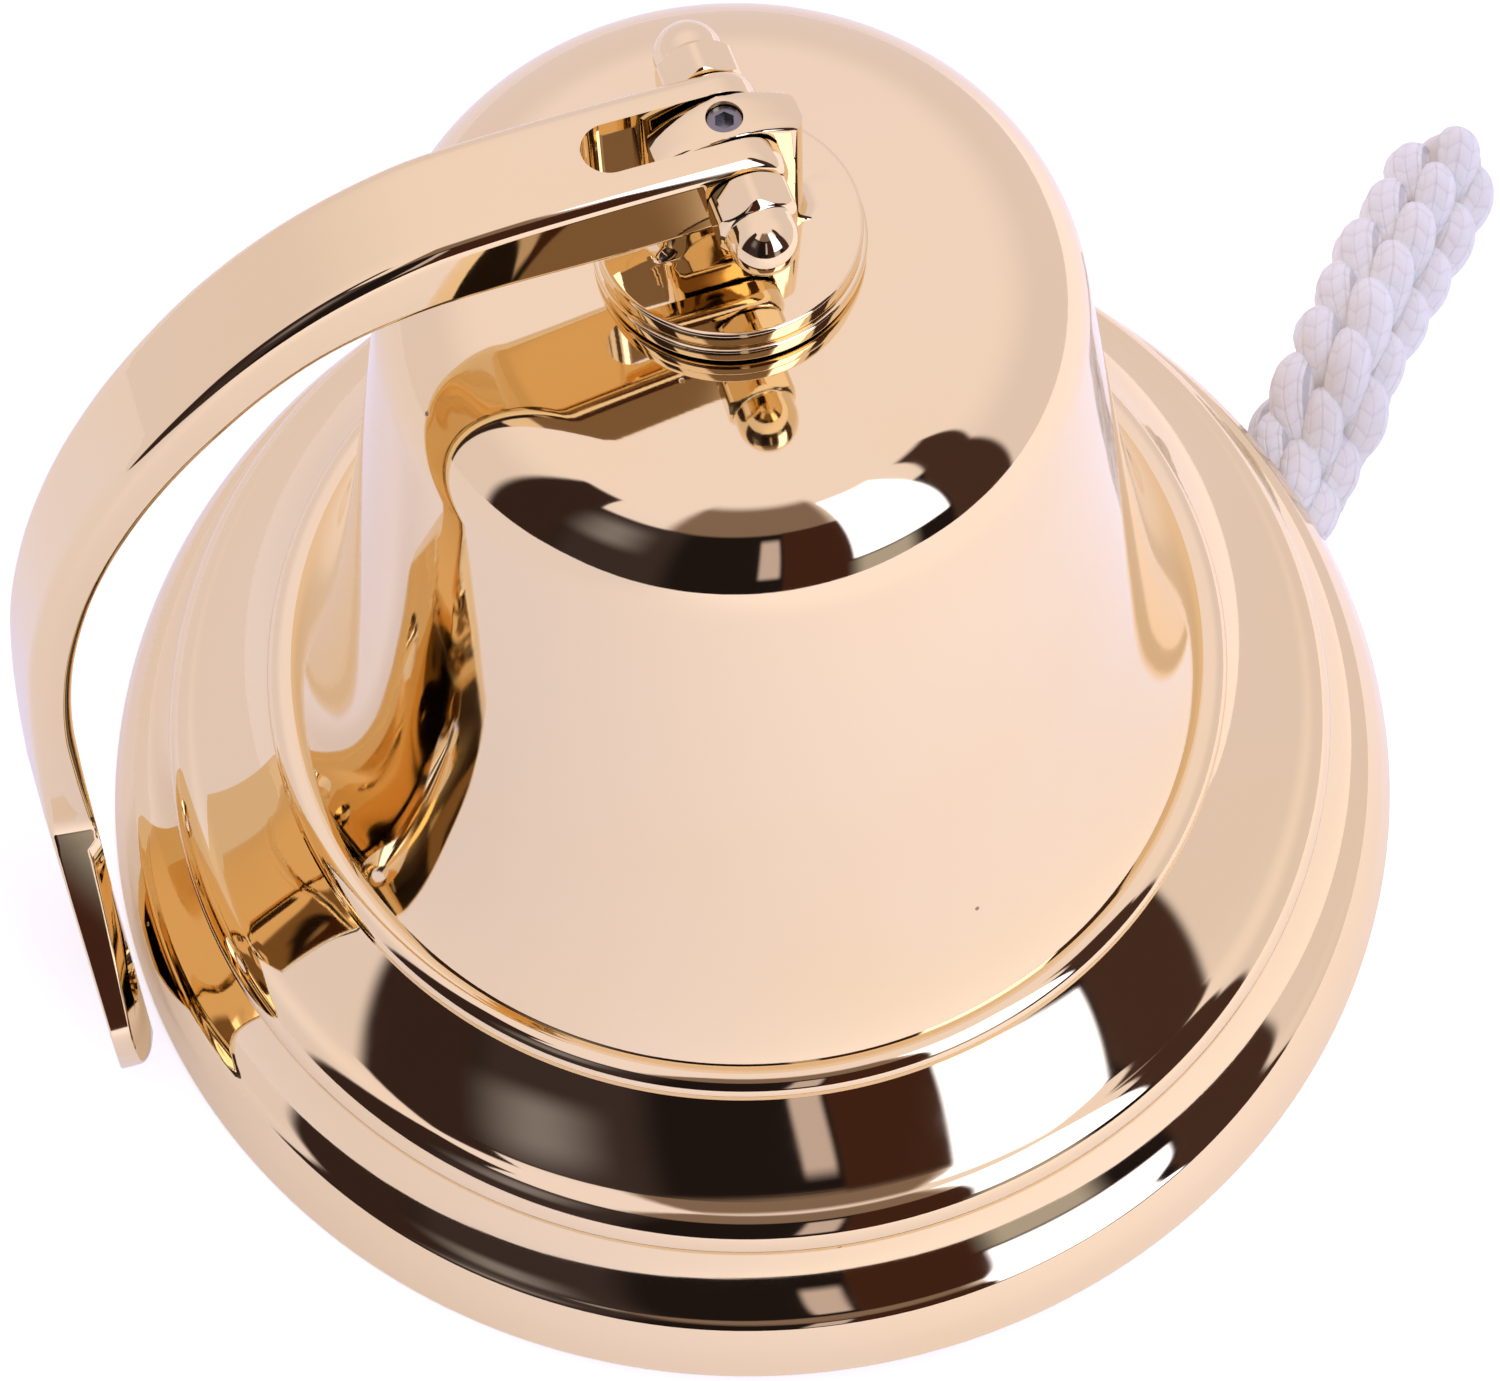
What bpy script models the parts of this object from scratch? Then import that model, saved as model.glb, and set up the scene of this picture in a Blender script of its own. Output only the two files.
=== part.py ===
"""Ship's bell on a folding wall bracket, standing on its mouth with the lanyard led out under the lip.

Every part is drawn in the bell's own frame (axis up, mouth on z = 0) and then leaned by the lanyard
that lies under one side of the mouth. Lengths are in metres.
"""

import math

import bmesh
import bpy
from mathutils import Matrix, Vector

# --- driving sizes ------------------------------------------------------------------------------
MOUTH_RADIUS = 0.140
WALL = 0.0044
CROWN_THICKNESS = 0.0060
GAP = 0.0003               # between faces that rest on each other
TURN_STEPS = 72

BRACKET_YAW = math.radians(16.8)    # arm leaves the bell towards -X, turned a little to the front
FORK_HALF_WIDTH = 0.0102
NECK_HALF_WIDTH = 0.0090
PLATE_HALF_WIDTH = 0.0385
SLOT_HALF_WIDTH = 0.0048
SLOT_DEPTH = 0.0240
SLOT_SIDE_CLEARANCE = 0.0006
PLATE_CREASE_REACH = 0.985     # the plate's inner face, from the bell's axis, in mouth radii
PLATE_TIP_REACH = 1.023
SCREW_HOLE_RADIUS = 0.0028
SCREW_HEAD_RADIUS = 0.0056
SCREW_HOLE_SIDE = 0.55         # of the plate's half width
SCREW_HOLE_HEIGHT = 0.250 * MOUTH_RADIUS

PIN_RADIUS = 0.0040
PIN_CLEARANCE = 0.00007
PIN_HEIGHT = 1.6375 * MOUTH_RADIUS
NUT_ACROSS_FLATS = 0.0130
NUT_HEX_HEIGHT = 0.0065
NUT_LENGTH = 0.0145
NUT_BORE_DEPTH = 0.0110

FLANGE_RADIUS = 0.0227
WASHER_RADIUS = 0.0234
WASHER_THICKNESS = 0.0030
FLANGE_THICKNESS = 0.0036
LUG_HALF_LENGTH = 0.0126
LUG_ARCH = 0.0035
LUG_FILLET = 0.0030
LUG_ABOVE_PIN = 0.0082
SET_SCREW_RADIUS = 0.0030
SET_SCREW_LENGTH = 0.0030

STUD_RADIUS = 0.0060
STUD_CLEARANCE = 0.0002
CROWN_NUT_ACROSS_FLATS = 0.0190
CROWN_NUT_HEIGHT = 0.0100
CLEVIS_HALF_WIDTH = 0.0095
CLEVIS_SLOT_HALF_WIDTH = 0.0041
TONGUE_HALF_WIDTH = 0.0036
CLAPPER_PIN_RADIUS = 0.0030
CLAPPER_LENGTH = 0.1040
CLAPPER_ROD_RADIUS = 0.0048
BALL_RADIUS = 0.0210
SHACKLE_WIRE = 0.0020
SHACKLE_HALF = 0.0062
SHACKLE_HALF_THICKNESS = 0.0030

ROPE_RADIUS = 0.0140
ROPE_PRESSED_RADIUS = 0.0070
ROPE_START = 0.0360                 # from the mouth's middle
LOOP_CORD_RADIUS = 0.0035
ROPE_BEARING = math.radians(27.0)   # side of the mouth that the lanyard comes out under
LEAN = math.radians(3.2)

R = MOUTH_RADIUS
CROWN_TOP = 1.432 * R
CROWN_UNDER = CROWN_TOP - CROWN_THICKNESS
FLANGE_BOTTOM = CROWN_TOP + GAP + WASHER_THICKNESS + GAP
FLANGE_TOP = FLANGE_BOTTOM + FLANGE_THICKNESS
LUG_HALF_WIDTH = SLOT_HALF_WIDTH - SLOT_SIDE_CLEARANCE
CLAPPER_PIVOT = CROWN_UNDER - 0.0290

# frames: S points along the arm, T along the cross pin towards the near nut
S = Vector((-math.cos(BRACKET_YAW), -math.sin(BRACKET_YAW), 0.0))
T = Vector((math.sin(BRACKET_YAW), -math.cos(BRACKET_YAW), 0.0))
UP = Vector((0.0, 0.0, 1.0))
SWING_AXIS = Vector((-math.sin(ROPE_BEARING), math.cos(ROPE_BEARING), 0.0))
SWING_SIDE = Vector((math.cos(ROPE_BEARING), math.sin(ROPE_BEARING), 0.0))


# --- scene --------------------------------------------------------------------------------------
for stale in list(bpy.data.objects):
    bpy.data.objects.remove(stale, do_unlink=True)


def collection(name):
    made = bpy.data.collections.new(name)
    bpy.context.scene.collection.children.link(made)
    return made


PARTS = collection("ship_bell")
CUTTERS = collection("cutters")


def material(name, colour, metallic, roughness):
    made = bpy.data.materials.new(name)
    made.use_nodes = True
    shader = made.node_tree.nodes["Principled BSDF"]
    shader.inputs["Base Color"].default_value = (*colour, 1.0)
    shader.inputs["Metallic"].default_value = metallic
    shader.inputs["Roughness"].default_value = roughness
    made.diffuse_color = (*colour, 1.0)
    return made


BRASS = (0.90, 0.70, 0.42)
COTTON = (0.86, 0.84, 0.80)


def add(name, mesh, colour=BRASS, metallic=1.0, roughness=0.12):
    made = bpy.data.objects.new(name, mesh)
    PARTS.objects.link(made)
    mesh.materials.append(material(name, colour, metallic, roughness))
    return made


def frame_matrix(x, y, z, origin):
    """Matrix that carries local X, Y, Z onto the given directions at the given origin."""
    turn = Matrix((x, y, z)).transposed().to_4x4()
    return Matrix.Translation(origin) @ turn


def prism(name, outline, depth, place):
    """Closed prism: an outline in local XY, centred on local z = 0 and 2 * depth thick."""
    bm = bmesh.new()
    ends = [[bm.verts.new((x, y, side * depth)) for x, y in outline] for side in (-1, 1)]
    bm.faces.new(ends[1])
    bm.faces.new(ends[0][::-1])
    for i in range(len(outline)):
        j = (i + 1) % len(outline)
        bm.faces.new((ends[0][i], ends[0][j], ends[1][j], ends[1][i]))
    bmesh.ops.transform(bm, matrix=place, verts=bm.verts)
    bmesh.ops.recalc_face_normals(bm, faces=bm.faces)
    mesh = bpy.data.meshes.new(name)
    bm.to_mesh(mesh)
    bm.free()
    return mesh


def cutter(name, mesh):
    made = bpy.data.objects.new(name, mesh)
    CUTTERS.objects.link(made)
    made.hide_render = True
    made.display_type = "WIRE"
    return made


def combine(target, other, how):
    step = target.modifiers.new(how.lower(), "BOOLEAN")
    step.operation = how
    step.solver = "EXACT"
    step.object = other


def circle(radius, steps, around=(0.0, 0.0), start=0.0):
    return [
        (around[0] + radius * math.cos(start + math.tau * i / steps),
         around[1] + radius * math.sin(start + math.tau * i / steps))
        for i in range(steps)
    ]


def hexagon(across_flats):
    return circle(across_flats / math.sqrt(3), 6, start=math.pi / 6)


def cylinder_cut(name, radius, half_length, place, steps=32):
    return cutter(name, prism(name, circle(radius, steps), half_length, place))


def turned(name, profile, place=None, steps=TURN_STEPS, closed=True, **look):
    """Turns an (r, z) profile about local Z. A closed profile makes a ring, an open one a solid."""
    mesh = bpy.data.meshes.new(name)
    n = len(profile)
    edges = [(i, i + 1) for i in range(n - 1)] + ([(n - 1, 0)] if closed else [])
    mesh.from_pydata([(r, 0.0, z) for r, z in profile], edges, [])
    made = add(name, mesh, **look)
    turn = made.modifiers.new("turn", "SCREW")
    turn.axis = "Z"
    turn.steps = turn.render_steps = steps
    turn.use_merge_vertices = True
    turn.merge_threshold = 0.00001
    made.matrix_world = place or Matrix.Identity(4)
    return made


def ring_profile(outer, inner, low, high, edge=0.0004):
    return [
        (inner, high), (outer - edge, high), (outer, high - edge), (outer, low + edge),
        (outer - edge, low), (inner, low),
    ]


def arc_points(centre, radius, start, stop, steps):
    return [
        (centre[0] + radius * math.cos(start + (stop - start) * i / steps),
         centre[1] + radius * math.sin(start + (stop - start) * i / steps))
        for i in range(steps + 1)
    ]


def bezier(points, steps):
    """Points along a quadratic or cubic curve, without its first point."""
    out = []
    order = len(points) - 1
    for i in range(1, steps + 1):
        t = i / steps
        weights = [math.comb(order, k) * t**k * (1 - t) ** (order - k) for k in range(order + 1)]
        out.append(tuple(sum(w * p[axis] for w, p in zip(weights, points)) for axis in (0, 1)))
    return out


def bead(start, stop, bulge, steps):
    """A rounded bead between two creases, without its first point."""
    middle = Vector(((start[0] + stop[0]) / 2, (start[1] + stop[1]) / 2))
    across = Vector((start[1] - stop[1], stop[0] - start[0])).normalized()
    half = math.dist(start, stop) / 2
    radius = (half * half + bulge * bulge) / (2 * bulge)
    centre = middle - across * (radius - bulge)
    first = math.atan2(start[1] - centre.y, start[0] - centre.x)
    last = math.atan2(stop[1] - centre.y, stop[0] - centre.x)
    return arc_points(centre, radius, first, last, steps)[1:]


def offset(points, distance):
    """Moves an open polyline to its inner side."""
    out = []
    for i, (r, z) in enumerate(points):
        before, after = points[max(i - 1, 0)], points[min(i + 1, len(points) - 1)]
        along = Vector((after[0] - before[0], after[1] - before[1])).normalized()
        out.append((r + along.y * distance, z - along.x * distance))
    return out


# --- bell ---------------------------------------------------------------------------------------
def scaled(points):
    return [(r * R, z * R) for r, z in points]


def bell_profile():
    """Closed outline of the casting, running down the outside and up the inside."""
    shoulder = arc_points((0.297, 1.270), 0.152, math.radians(90), math.radians(10), 9)
    waist = bezier([shoulder[-1], (0.499, 1.000), (0.561, 0.568), (0.670, 0.400)], 11)
    upper_bead = bead((0.670, 0.400), (0.7065, 0.3635), 0.017, 4)
    upper_cove = bezier([(0.7065, 0.3635), (0.7539, 0.3070), (0.833, 0.265)], 4)
    lower_bead = bead((0.833, 0.265), (0.869, 0.180), 0.026, 5)
    lower_cove = bezier([(0.869, 0.180), (0.9165, 0.1068), (0.944, 0.094)], 4)
    lip = [(0.953, 0.0895), (0.979, 0.048), (0.998, 0.006), (0.995, 0.0), (0.962, 0.0)]
    crown = [((STUD_RADIUS + STUD_CLEARANCE) / R, CROWN_TOP / R)]
    outside = scaled(crown + shoulder + waist + upper_bead + upper_cove + lower_bead + lower_cove + lip)
    body = scaled(shoulder + waist)
    inner_body = [p for p in offset(body, WALL) if p[1] < CROWN_UNDER - 0.0005]
    bow = scaled([(0.956, 0.006), (0.925, 0.060), (0.880, 0.120), (0.800, 0.220), (0.715, 0.310)])
    inside = bow + inner_body[::-1]
    hole = STUD_RADIUS + STUD_CLEARANCE
    return outside + inside + [(0.26 * R, CROWN_UNDER), (hole, CROWN_UNDER)]


bell = turned("bell", bell_profile())

# --- crown hardware -----------------------------------------------------------------------------
stud_hole = STUD_RADIUS + STUD_CLEARANCE
turned(
    "crown_washer",
    ring_profile(WASHER_RADIUS, stud_hole, CROWN_TOP + GAP, CROWN_TOP + GAP + WASHER_THICKNESS),
    steps=48,
)

lug_top = PIN_HEIGHT + LUG_ABOVE_PIN
lug_end_top = lug_top - LUG_ARCH
arch_radius = (LUG_HALF_LENGTH**2 + LUG_ARCH**2) / (2 * LUG_ARCH)
arch_angle = math.asin(LUG_HALF_LENGTH / arch_radius)
arch = arc_points(
    (0.0, lug_top - arch_radius), arch_radius, math.pi / 2 - arch_angle, math.pi / 2 + arch_angle, 8
)
foot_right = arc_points(
    (LUG_HALF_LENGTH + LUG_FILLET, FLANGE_TOP + LUG_FILLET), LUG_FILLET, -math.pi / 2, -math.pi, 3
)
foot_left = [(-x, z) for x, z in foot_right[::-1]]
foot_low = FLANGE_TOP - 0.5 * FLANGE_THICKNESS
lug_outline = (
    [(LUG_HALF_LENGTH + LUG_FILLET, foot_low)] + foot_right + arch + foot_left
    + [(-LUG_HALF_LENGTH - LUG_FILLET, foot_low)]
)
pin_place = frame_matrix(S, UP, T * -1.0, Vector((0.0, 0.0, 0.0)))
hanger = turned(
    "hanger_lug",
    [(0.0, FLANGE_TOP), (FLANGE_RADIUS - 0.0006, FLANGE_TOP), (FLANGE_RADIUS, FLANGE_TOP - 0.0006),
     (FLANGE_RADIUS, FLANGE_BOTTOM + 0.0006), (FLANGE_RADIUS - 0.0006, FLANGE_BOTTOM), (0.0, FLANGE_BOTTOM)],
    steps=48, closed=False,
)
combine(hanger, cutter("lug_block", prism("lug_block", lug_outline, LUG_HALF_WIDTH, pin_place)), "UNION")
pin_axis = frame_matrix(S, UP, T * -1.0, UP * PIN_HEIGHT)
combine(hanger, cylinder_cut("lug_bore", PIN_RADIUS + PIN_CLEARANCE, 0.020, pin_axis), "DIFFERENCE")
screw_hole = Matrix.Translation(UP * (lug_top + PIN_HEIGHT) / 2)
screw_hole_half = (lug_top - PIN_HEIGHT) / 2
combine(
    hanger,
    cylinder_cut("screw_hole", SET_SCREW_RADIUS + PIN_CLEARANCE, screw_hole_half, screw_hole, 24),
    "DIFFERENCE",
)
stud_top = PIN_HEIGHT - PIN_RADIUS - 0.0035
stud_socket_half = (stud_top + 0.0005 - FLANGE_BOTTOM + 0.002) / 2
stud_socket = Matrix.Translation(UP * (stud_top + 0.0005 - stud_socket_half))
socket_radius = min(STUD_RADIUS, LUG_HALF_WIDTH - 0.0012)
combine(
    hanger,
    cylinder_cut("stud_socket", socket_radius + STUD_CLEARANCE / 2, stud_socket_half, stud_socket),
    "DIFFERENCE",
)

screw_low = PIN_HEIGHT + PIN_RADIUS + 0.0002
screw_high = screw_low + SET_SCREW_LENGTH
set_screw = turned(
    "lug_set_screw",
    [(0.0, screw_high), (SET_SCREW_RADIUS - 0.0004, screw_high), (SET_SCREW_RADIUS, screw_high - 0.0004),
     (SET_SCREW_RADIUS, screw_low + 0.0006), (SET_SCREW_RADIUS - 0.0006, screw_low), (0.0, screw_low)],
    steps=24, closed=False, colour=(0.35, 0.35, 0.36), roughness=0.3,
)
socket_place = Matrix.Translation(UP * screw_high)
combine(
    set_screw,
    cutter("screw_socket", prism("screw_socket", hexagon(0.0030), 0.0018, socket_place)),
    "DIFFERENCE",
)

# --- cross pin and its nuts ---------------------------------------------------------------------
fork_face = FORK_HALF_WIDTH + GAP
pin_half = fork_face + NUT_BORE_DEPTH - 0.0008
chamfer = 0.0006
turned(
    "pivot_pin",
    [(0.0, pin_half), (PIN_RADIUS - chamfer, pin_half), (PIN_RADIUS, pin_half - chamfer),
     (PIN_RADIUS, chamfer - pin_half), (PIN_RADIUS - chamfer, -pin_half), (0.0, -pin_half)],
    place=pin_axis, steps=32, closed=False,
)


def acorn_nut(name, direction):
    """A domed cap nut whose seat is on the fork's cheek and whose dome points along direction."""
    side = UP.cross(direction)
    place = frame_matrix(side, UP, direction, UP * PIN_HEIGHT + direction * fork_face)
    dome_radius = 0.45 * NUT_ACROSS_FLATS
    straight = NUT_LENGTH - dome_radius
    skirt = NUT_ACROSS_FLATS / math.sqrt(3)
    body = [(0.0, NUT_LENGTH)]
    body += arc_points((0.0, straight), dome_radius, math.radians(75), 0.0, 5)
    body += [(dome_radius, NUT_HEX_HEIGHT + 0.0004), (0.5 * NUT_ACROSS_FLATS, NUT_HEX_HEIGHT),
             (skirt, NUT_HEX_HEIGHT - 0.0011), (skirt, 0.0009), (0.5 * NUT_ACROSS_FLATS, 0.0), (0.0, 0.0)]
    nut = turned(name, body, place=place, steps=36, closed=False)
    flats = prism(name + "_flats", hexagon(NUT_ACROSS_FLATS), NUT_LENGTH * 1.2, place)
    combine(nut, cutter(name + "_flats", flats), "INTERSECT")
    bore = cylinder_cut(name + "_bore", PIN_RADIUS + PIN_CLEARANCE, NUT_BORE_DEPTH, place)
    combine(nut, bore, "DIFFERENCE")


acorn_nut("acorn_nut_near", T)
acorn_nut("acorn_nut_far", T * -1.0)

# --- wall bracket -------------------------------------------------------------------------------
fork_end = arc_points((0.0, 1.6375), 0.0575, math.radians(270), math.radians(90), 8)
arm_top = [
    (0.150, 1.7000), (0.300, 1.7000), (0.400, 1.6880), (0.520, 1.6440), (0.633, 1.5700), (0.742, 1.4640),
    (0.821, 1.3620), (0.880, 1.2620), (0.930, 1.1500), (0.968, 1.0300), (0.994, 0.9000), (1.014, 0.7600),
    (1.030, 0.6200),
]
plate_foot = 0.034
back_slope = math.tan(LEAN) * math.cos(ROPE_BEARING - BRACKET_YAW)   # upright once the bell has leaned
plate_back = [(1.030 + (0.620 - plate_foot) * back_slope, plate_foot)]
plate_front = [(1.0045, plate_foot), (0.990, 0.300), (0.970, 0.560)]
arm_under = [
    (0.957, 0.720), (0.943, 0.860), (0.920, 0.980), (0.890, 1.080), (0.850, 1.180), (0.795, 1.280),
    (0.735, 1.3640), (0.665, 1.4400), (0.585, 1.5080), (0.500, 1.5560), (0.400, 1.5820), (0.300, 1.5860),
    (0.150, 1.5800),
]
side_outline = scaled(fork_end + arm_top + plate_back + plate_front + arm_under)

plate_w = PLATE_HALF_WIDTH / R
neck_w = NECK_HALF_WIDTH / R
fork_w = FORK_HALF_WIDTH / R
half_front = [
    (fork_w, 1.80), (fork_w, 1.50), (neck_w, 1.10), (neck_w, 0.600), (0.97 * plate_w, 0.300),
    (plate_w, 0.262), (0.96 * plate_w, 0.190), (0.74 * plate_w, 0.100), (0.42 * plate_w, 0.050),
    (0.20 * plate_w, plate_foot),
]
front_outline = scaled(half_front + [(-t, z) for t, z in half_front[::-1]])
half_plan = [
    (fork_w * 1.2, -0.20), (fork_w * 1.2, PLATE_CREASE_REACH),
    (plate_w * 1.05, PLATE_TIP_REACH), (plate_w * 1.05, 1.15),
]
fork_side = 1.2 * FORK_HALF_WIDTH
plan_outline = scaled(half_plan + [(-t, s) for t, s in half_plan[::-1]])

side_place = frame_matrix(S, UP, S.cross(UP), Vector((0.0, 0.0, 0.0)))
bracket = add("bracket", prism("bracket", side_outline, PLATE_HALF_WIDTH * 1.05, side_place))
front_place = frame_matrix(T, UP, T.cross(UP), S * 0.45 * R)
combine(bracket, cutter("front", prism("front", front_outline, 0.9 * R, front_place)), "INTERSECT")
plan_place = frame_matrix(T, S, T.cross(S), UP * 0.9 * R)
combine(bracket, cutter("plan", prism("plan", plan_outline, 1.1 * R, plan_place)), "INTERSECT")

slot = arc_points(
    (SLOT_DEPTH - SLOT_HALF_WIDTH, 0.0), SLOT_HALF_WIDTH, -math.pi / 2, math.pi / 2, 10
) + [(-0.020, SLOT_HALF_WIDTH), (-0.020, -SLOT_HALF_WIDTH)]
slot_place = frame_matrix(S, T, S.cross(T), UP * PIN_HEIGHT)
combine(bracket, cutter("fork_slot", prism("fork_slot", slot, 0.020, slot_place)), "DIFFERENCE")
combine(bracket, cylinder_cut("fork_bore", PIN_RADIUS + PIN_CLEARANCE, 0.020, pin_axis), "DIFFERENCE")

screw_side = SCREW_HOLE_SIDE * PLATE_HALF_WIDTH
inner_face = 0.9905 * R + (PLATE_TIP_REACH - PLATE_CREASE_REACH) * R * (
    (screw_side - fork_side) / (1.05 * PLATE_HALF_WIDTH - fork_side)
)
sink_middle = 0.5 * (SCREW_HEAD_RADIUS - SCREW_HOLE_RADIUS - 0.0035)
for side, name in ((1, "near"), (-1, "far")):
    centre = T * side * screw_side + UP * SCREW_HOLE_HEIGHT
    place = frame_matrix(T, UP, T.cross(UP), centre + S * R)
    combine(bracket, cylinder_cut("screw_way_" + name, SCREW_HOLE_RADIUS, 0.030, place, 20), "DIFFERENCE")
    sink = bpy.data.meshes.new("countersink_" + name)
    bm = bmesh.new()
    bmesh.ops.create_cone(
        bm, segments=24, radius1=SCREW_HEAD_RADIUS + 0.004, radius2=SCREW_HOLE_RADIUS - 0.0005,
        depth=SCREW_HEAD_RADIUS + 0.0045 - SCREW_HOLE_RADIUS, cap_ends=True,
        matrix=frame_matrix(T, UP, S, centre + S * (inner_face + sink_middle)),
    )
    bm.to_mesh(sink)
    bm.free()
    combine(bracket, cutter("countersink_" + name, sink), "DIFFERENCE")

# --- inside: washer, nut and the stud that carries the clapper ----------------------------------
inner_washer_low = CROWN_UNDER - GAP - 0.0022
turned("inner_washer", ring_profile(0.0160, stud_hole, inner_washer_low, CROWN_UNDER - GAP), steps=40)
nut_high = inner_washer_low - GAP
nut_low = nut_high - CROWN_NUT_HEIGHT
nut_skirt = CROWN_NUT_ACROSS_FLATS / math.sqrt(3)
crown_nut = turned(
    "crown_nut",
    [(stud_hole, nut_high), (CROWN_NUT_ACROSS_FLATS / 2, nut_high), (nut_skirt, nut_high - 0.0012),
     (nut_skirt, nut_low + 0.0012), (CROWN_NUT_ACROSS_FLATS / 2, nut_low), (stud_hole, nut_low)],
    steps=36,
)
nut_place = Matrix.Translation(UP * (nut_high + nut_low) / 2)
combine(
    crown_nut,
    cutter("crown_flats", prism("crown_flats", hexagon(CROWN_NUT_ACROSS_FLATS), 0.010, nut_place)),
    "INTERSECT",
)

clevis_top = nut_low - 0.0012
clevis_low = CLAPPER_PIVOT - 0.0068
stud_shoulder = FLANGE_BOTTOM - 0.0010
stud = turned(
    "clapper_stud",
    [(0.0, stud_top), (socket_radius - 0.0006, stud_top), (socket_radius, stud_top - 0.0006),
     (socket_radius, stud_shoulder), (STUD_RADIUS, stud_shoulder - STUD_RADIUS + socket_radius),
     (STUD_RADIUS, clevis_top - 0.0010), (0.0, clevis_top - 0.0010)],
    steps=32, closed=False,
)
pivot_place = frame_matrix(SWING_SIDE, UP, SWING_AXIS * -1.0, UP * CLAPPER_PIVOT)
cheek_half = 0.0080
cheek = [(cheek_half, clevis_top - CLAPPER_PIVOT), (-cheek_half, clevis_top - CLAPPER_PIVOT)]
cheek += arc_points((0.0, 0.0), cheek_half, math.pi, math.tau, 10)
combine(stud, cutter("clevis", prism("clevis", cheek, CLEVIS_HALF_WIDTH, pivot_place)), "UNION")
slot_low, slot_high = -0.020, 0.0098
tongue_slot = [(-0.012, slot_low), (0.012, slot_low), (0.012, slot_high), (-0.012, slot_high)]
combine(
    stud,
    cutter("clevis_slot", prism("clevis_slot", tongue_slot, CLEVIS_SLOT_HALF_WIDTH, pivot_place)),
    "DIFFERENCE",
)
clevis_bore = cylinder_cut("clevis_bore", CLAPPER_PIN_RADIUS + PIN_CLEARANCE, 0.020, pivot_place, 24)
combine(stud, clevis_bore, "DIFFERENCE")

# --- clapper, drawn hanging plumb below its pin -------------------------------------------------
cheek_face = CLEVIS_HALF_WIDTH + GAP
pin_tail = cheek_face + 0.0016 + 0.0055
clapper_pin = turned(
    "clapper_pin",
    [(0.0, cheek_face + 0.0022), (0.0042, cheek_face + 0.0022), (0.0048, cheek_face + 0.0016),
     (0.0048, cheek_face), (CLAPPER_PIN_RADIUS, cheek_face), (CLAPPER_PIN_RADIUS, 0.0006 - pin_tail),
     (CLAPPER_PIN_RADIUS - 0.0006, -pin_tail), (0.0, -pin_tail)],
    place=pivot_place, steps=24, closed=False,
)
split_at = cheek_face + 0.0016 + GAP + 0.0022
split_axis = frame_matrix(SWING_SIDE, SWING_AXIS, UP, UP * CLAPPER_PIVOT + SWING_AXIS * split_at)
combine(clapper_pin, cylinder_cut("split_hole", 0.0011, 0.0060, split_axis, 12), "DIFFERENCE")
turned(
    "clapper_pin_washer",
    ring_profile(0.0058, CLAPPER_PIN_RADIUS + 0.00015, -cheek_face - 0.0014, -cheek_face, edge=0.0003),
    place=pivot_place, steps=24,
)


def tube(name, points, radius, resolution, radii=None, cyclic=False, **look):
    """A round bar or cord through the given points."""
    data = bpy.data.curves.new(name, "CURVE")
    data.dimensions = "3D"
    data.bevel_depth = radius
    data.bevel_resolution = resolution
    data.use_fill_caps = True
    spline = data.splines.new("POLY")
    spline.points.add(len(points) - 1)
    for i, point in enumerate(points):
        spline.points[i].co = (*point, 1.0)
        spline.points[i].radius = radii[i] / radius if radii else 1.0
    spline.use_cyclic_u = cyclic
    return add(name, data, **look)


split_centre = UP * CLAPPER_PIVOT + SWING_AXIS * split_at
split_route = [
    (0.0052, 0.0002), (0.0044, 0.0), (0.0, 0.0), (-0.0044, 0.0), (-0.0058, 0.0009), (-0.0066, 0.0024),
]
split_wire = [split_centre + UP * rise + SWING_SIDE * bend for rise, bend in split_route]
tube("clapper_split_pin", split_wire, 0.0009, 2, colour=(0.62, 0.60, 0.55), roughness=0.3)

tongue_reach = 0.0072
neck = 0.0130
ball_centre = CLAPPER_PIVOT - CLAPPER_LENGTH
tail_low = ball_centre - BALL_RADIUS - 0.0150
rod_top = CLAPPER_PIVOT - neck
rod_low = ball_centre - BALL_RADIUS - 0.0046
rod = turned(
    "clapper_rod",
    [(0.0, rod_top), (CLAPPER_ROD_RADIUS, rod_top), (CLAPPER_ROD_RADIUS, rod_low + 0.0006),
     (CLAPPER_ROD_RADIUS - 0.0006, rod_low), (0.0, rod_low)],
    steps=24, closed=False,
)
tongue = arc_points((0.0, 0.0), tongue_reach, 0.0, math.pi, 10)
tongue += [(-tongue_reach, -0.0080), (-CLAPPER_ROD_RADIUS * 0.8, -neck - 0.0030),
           (CLAPPER_ROD_RADIUS * 0.8, -neck - 0.0030), (tongue_reach, -0.0080)]
combine(rod, cutter("tongue", prism("tongue", tongue, TONGUE_HALF_WIDTH, pivot_place)), "UNION")
tongue_bore = cylinder_cut("tongue_bore", CLAPPER_PIN_RADIUS + PIN_CLEARANCE, 0.020, pivot_place, 24)
combine(rod, tongue_bore, "DIFFERENCE")
tail_eye = tail_low + 0.0062
tail_place = frame_matrix(SWING_SIDE, UP, SWING_AXIS * -1.0, UP * tail_eye)
tail = arc_points((0.0, 0.0), 0.0062, math.pi, math.tau, 10)
tail += [(0.0058, 0.0090), (-0.0058, 0.0090)]
combine(rod, cutter("tail", prism("tail", tail, 0.0028, tail_place)), "UNION")
combine(rod, cylinder_cut("tail_bore", 0.0028, 0.010, tail_place, 20), "DIFFERENCE")

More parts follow.
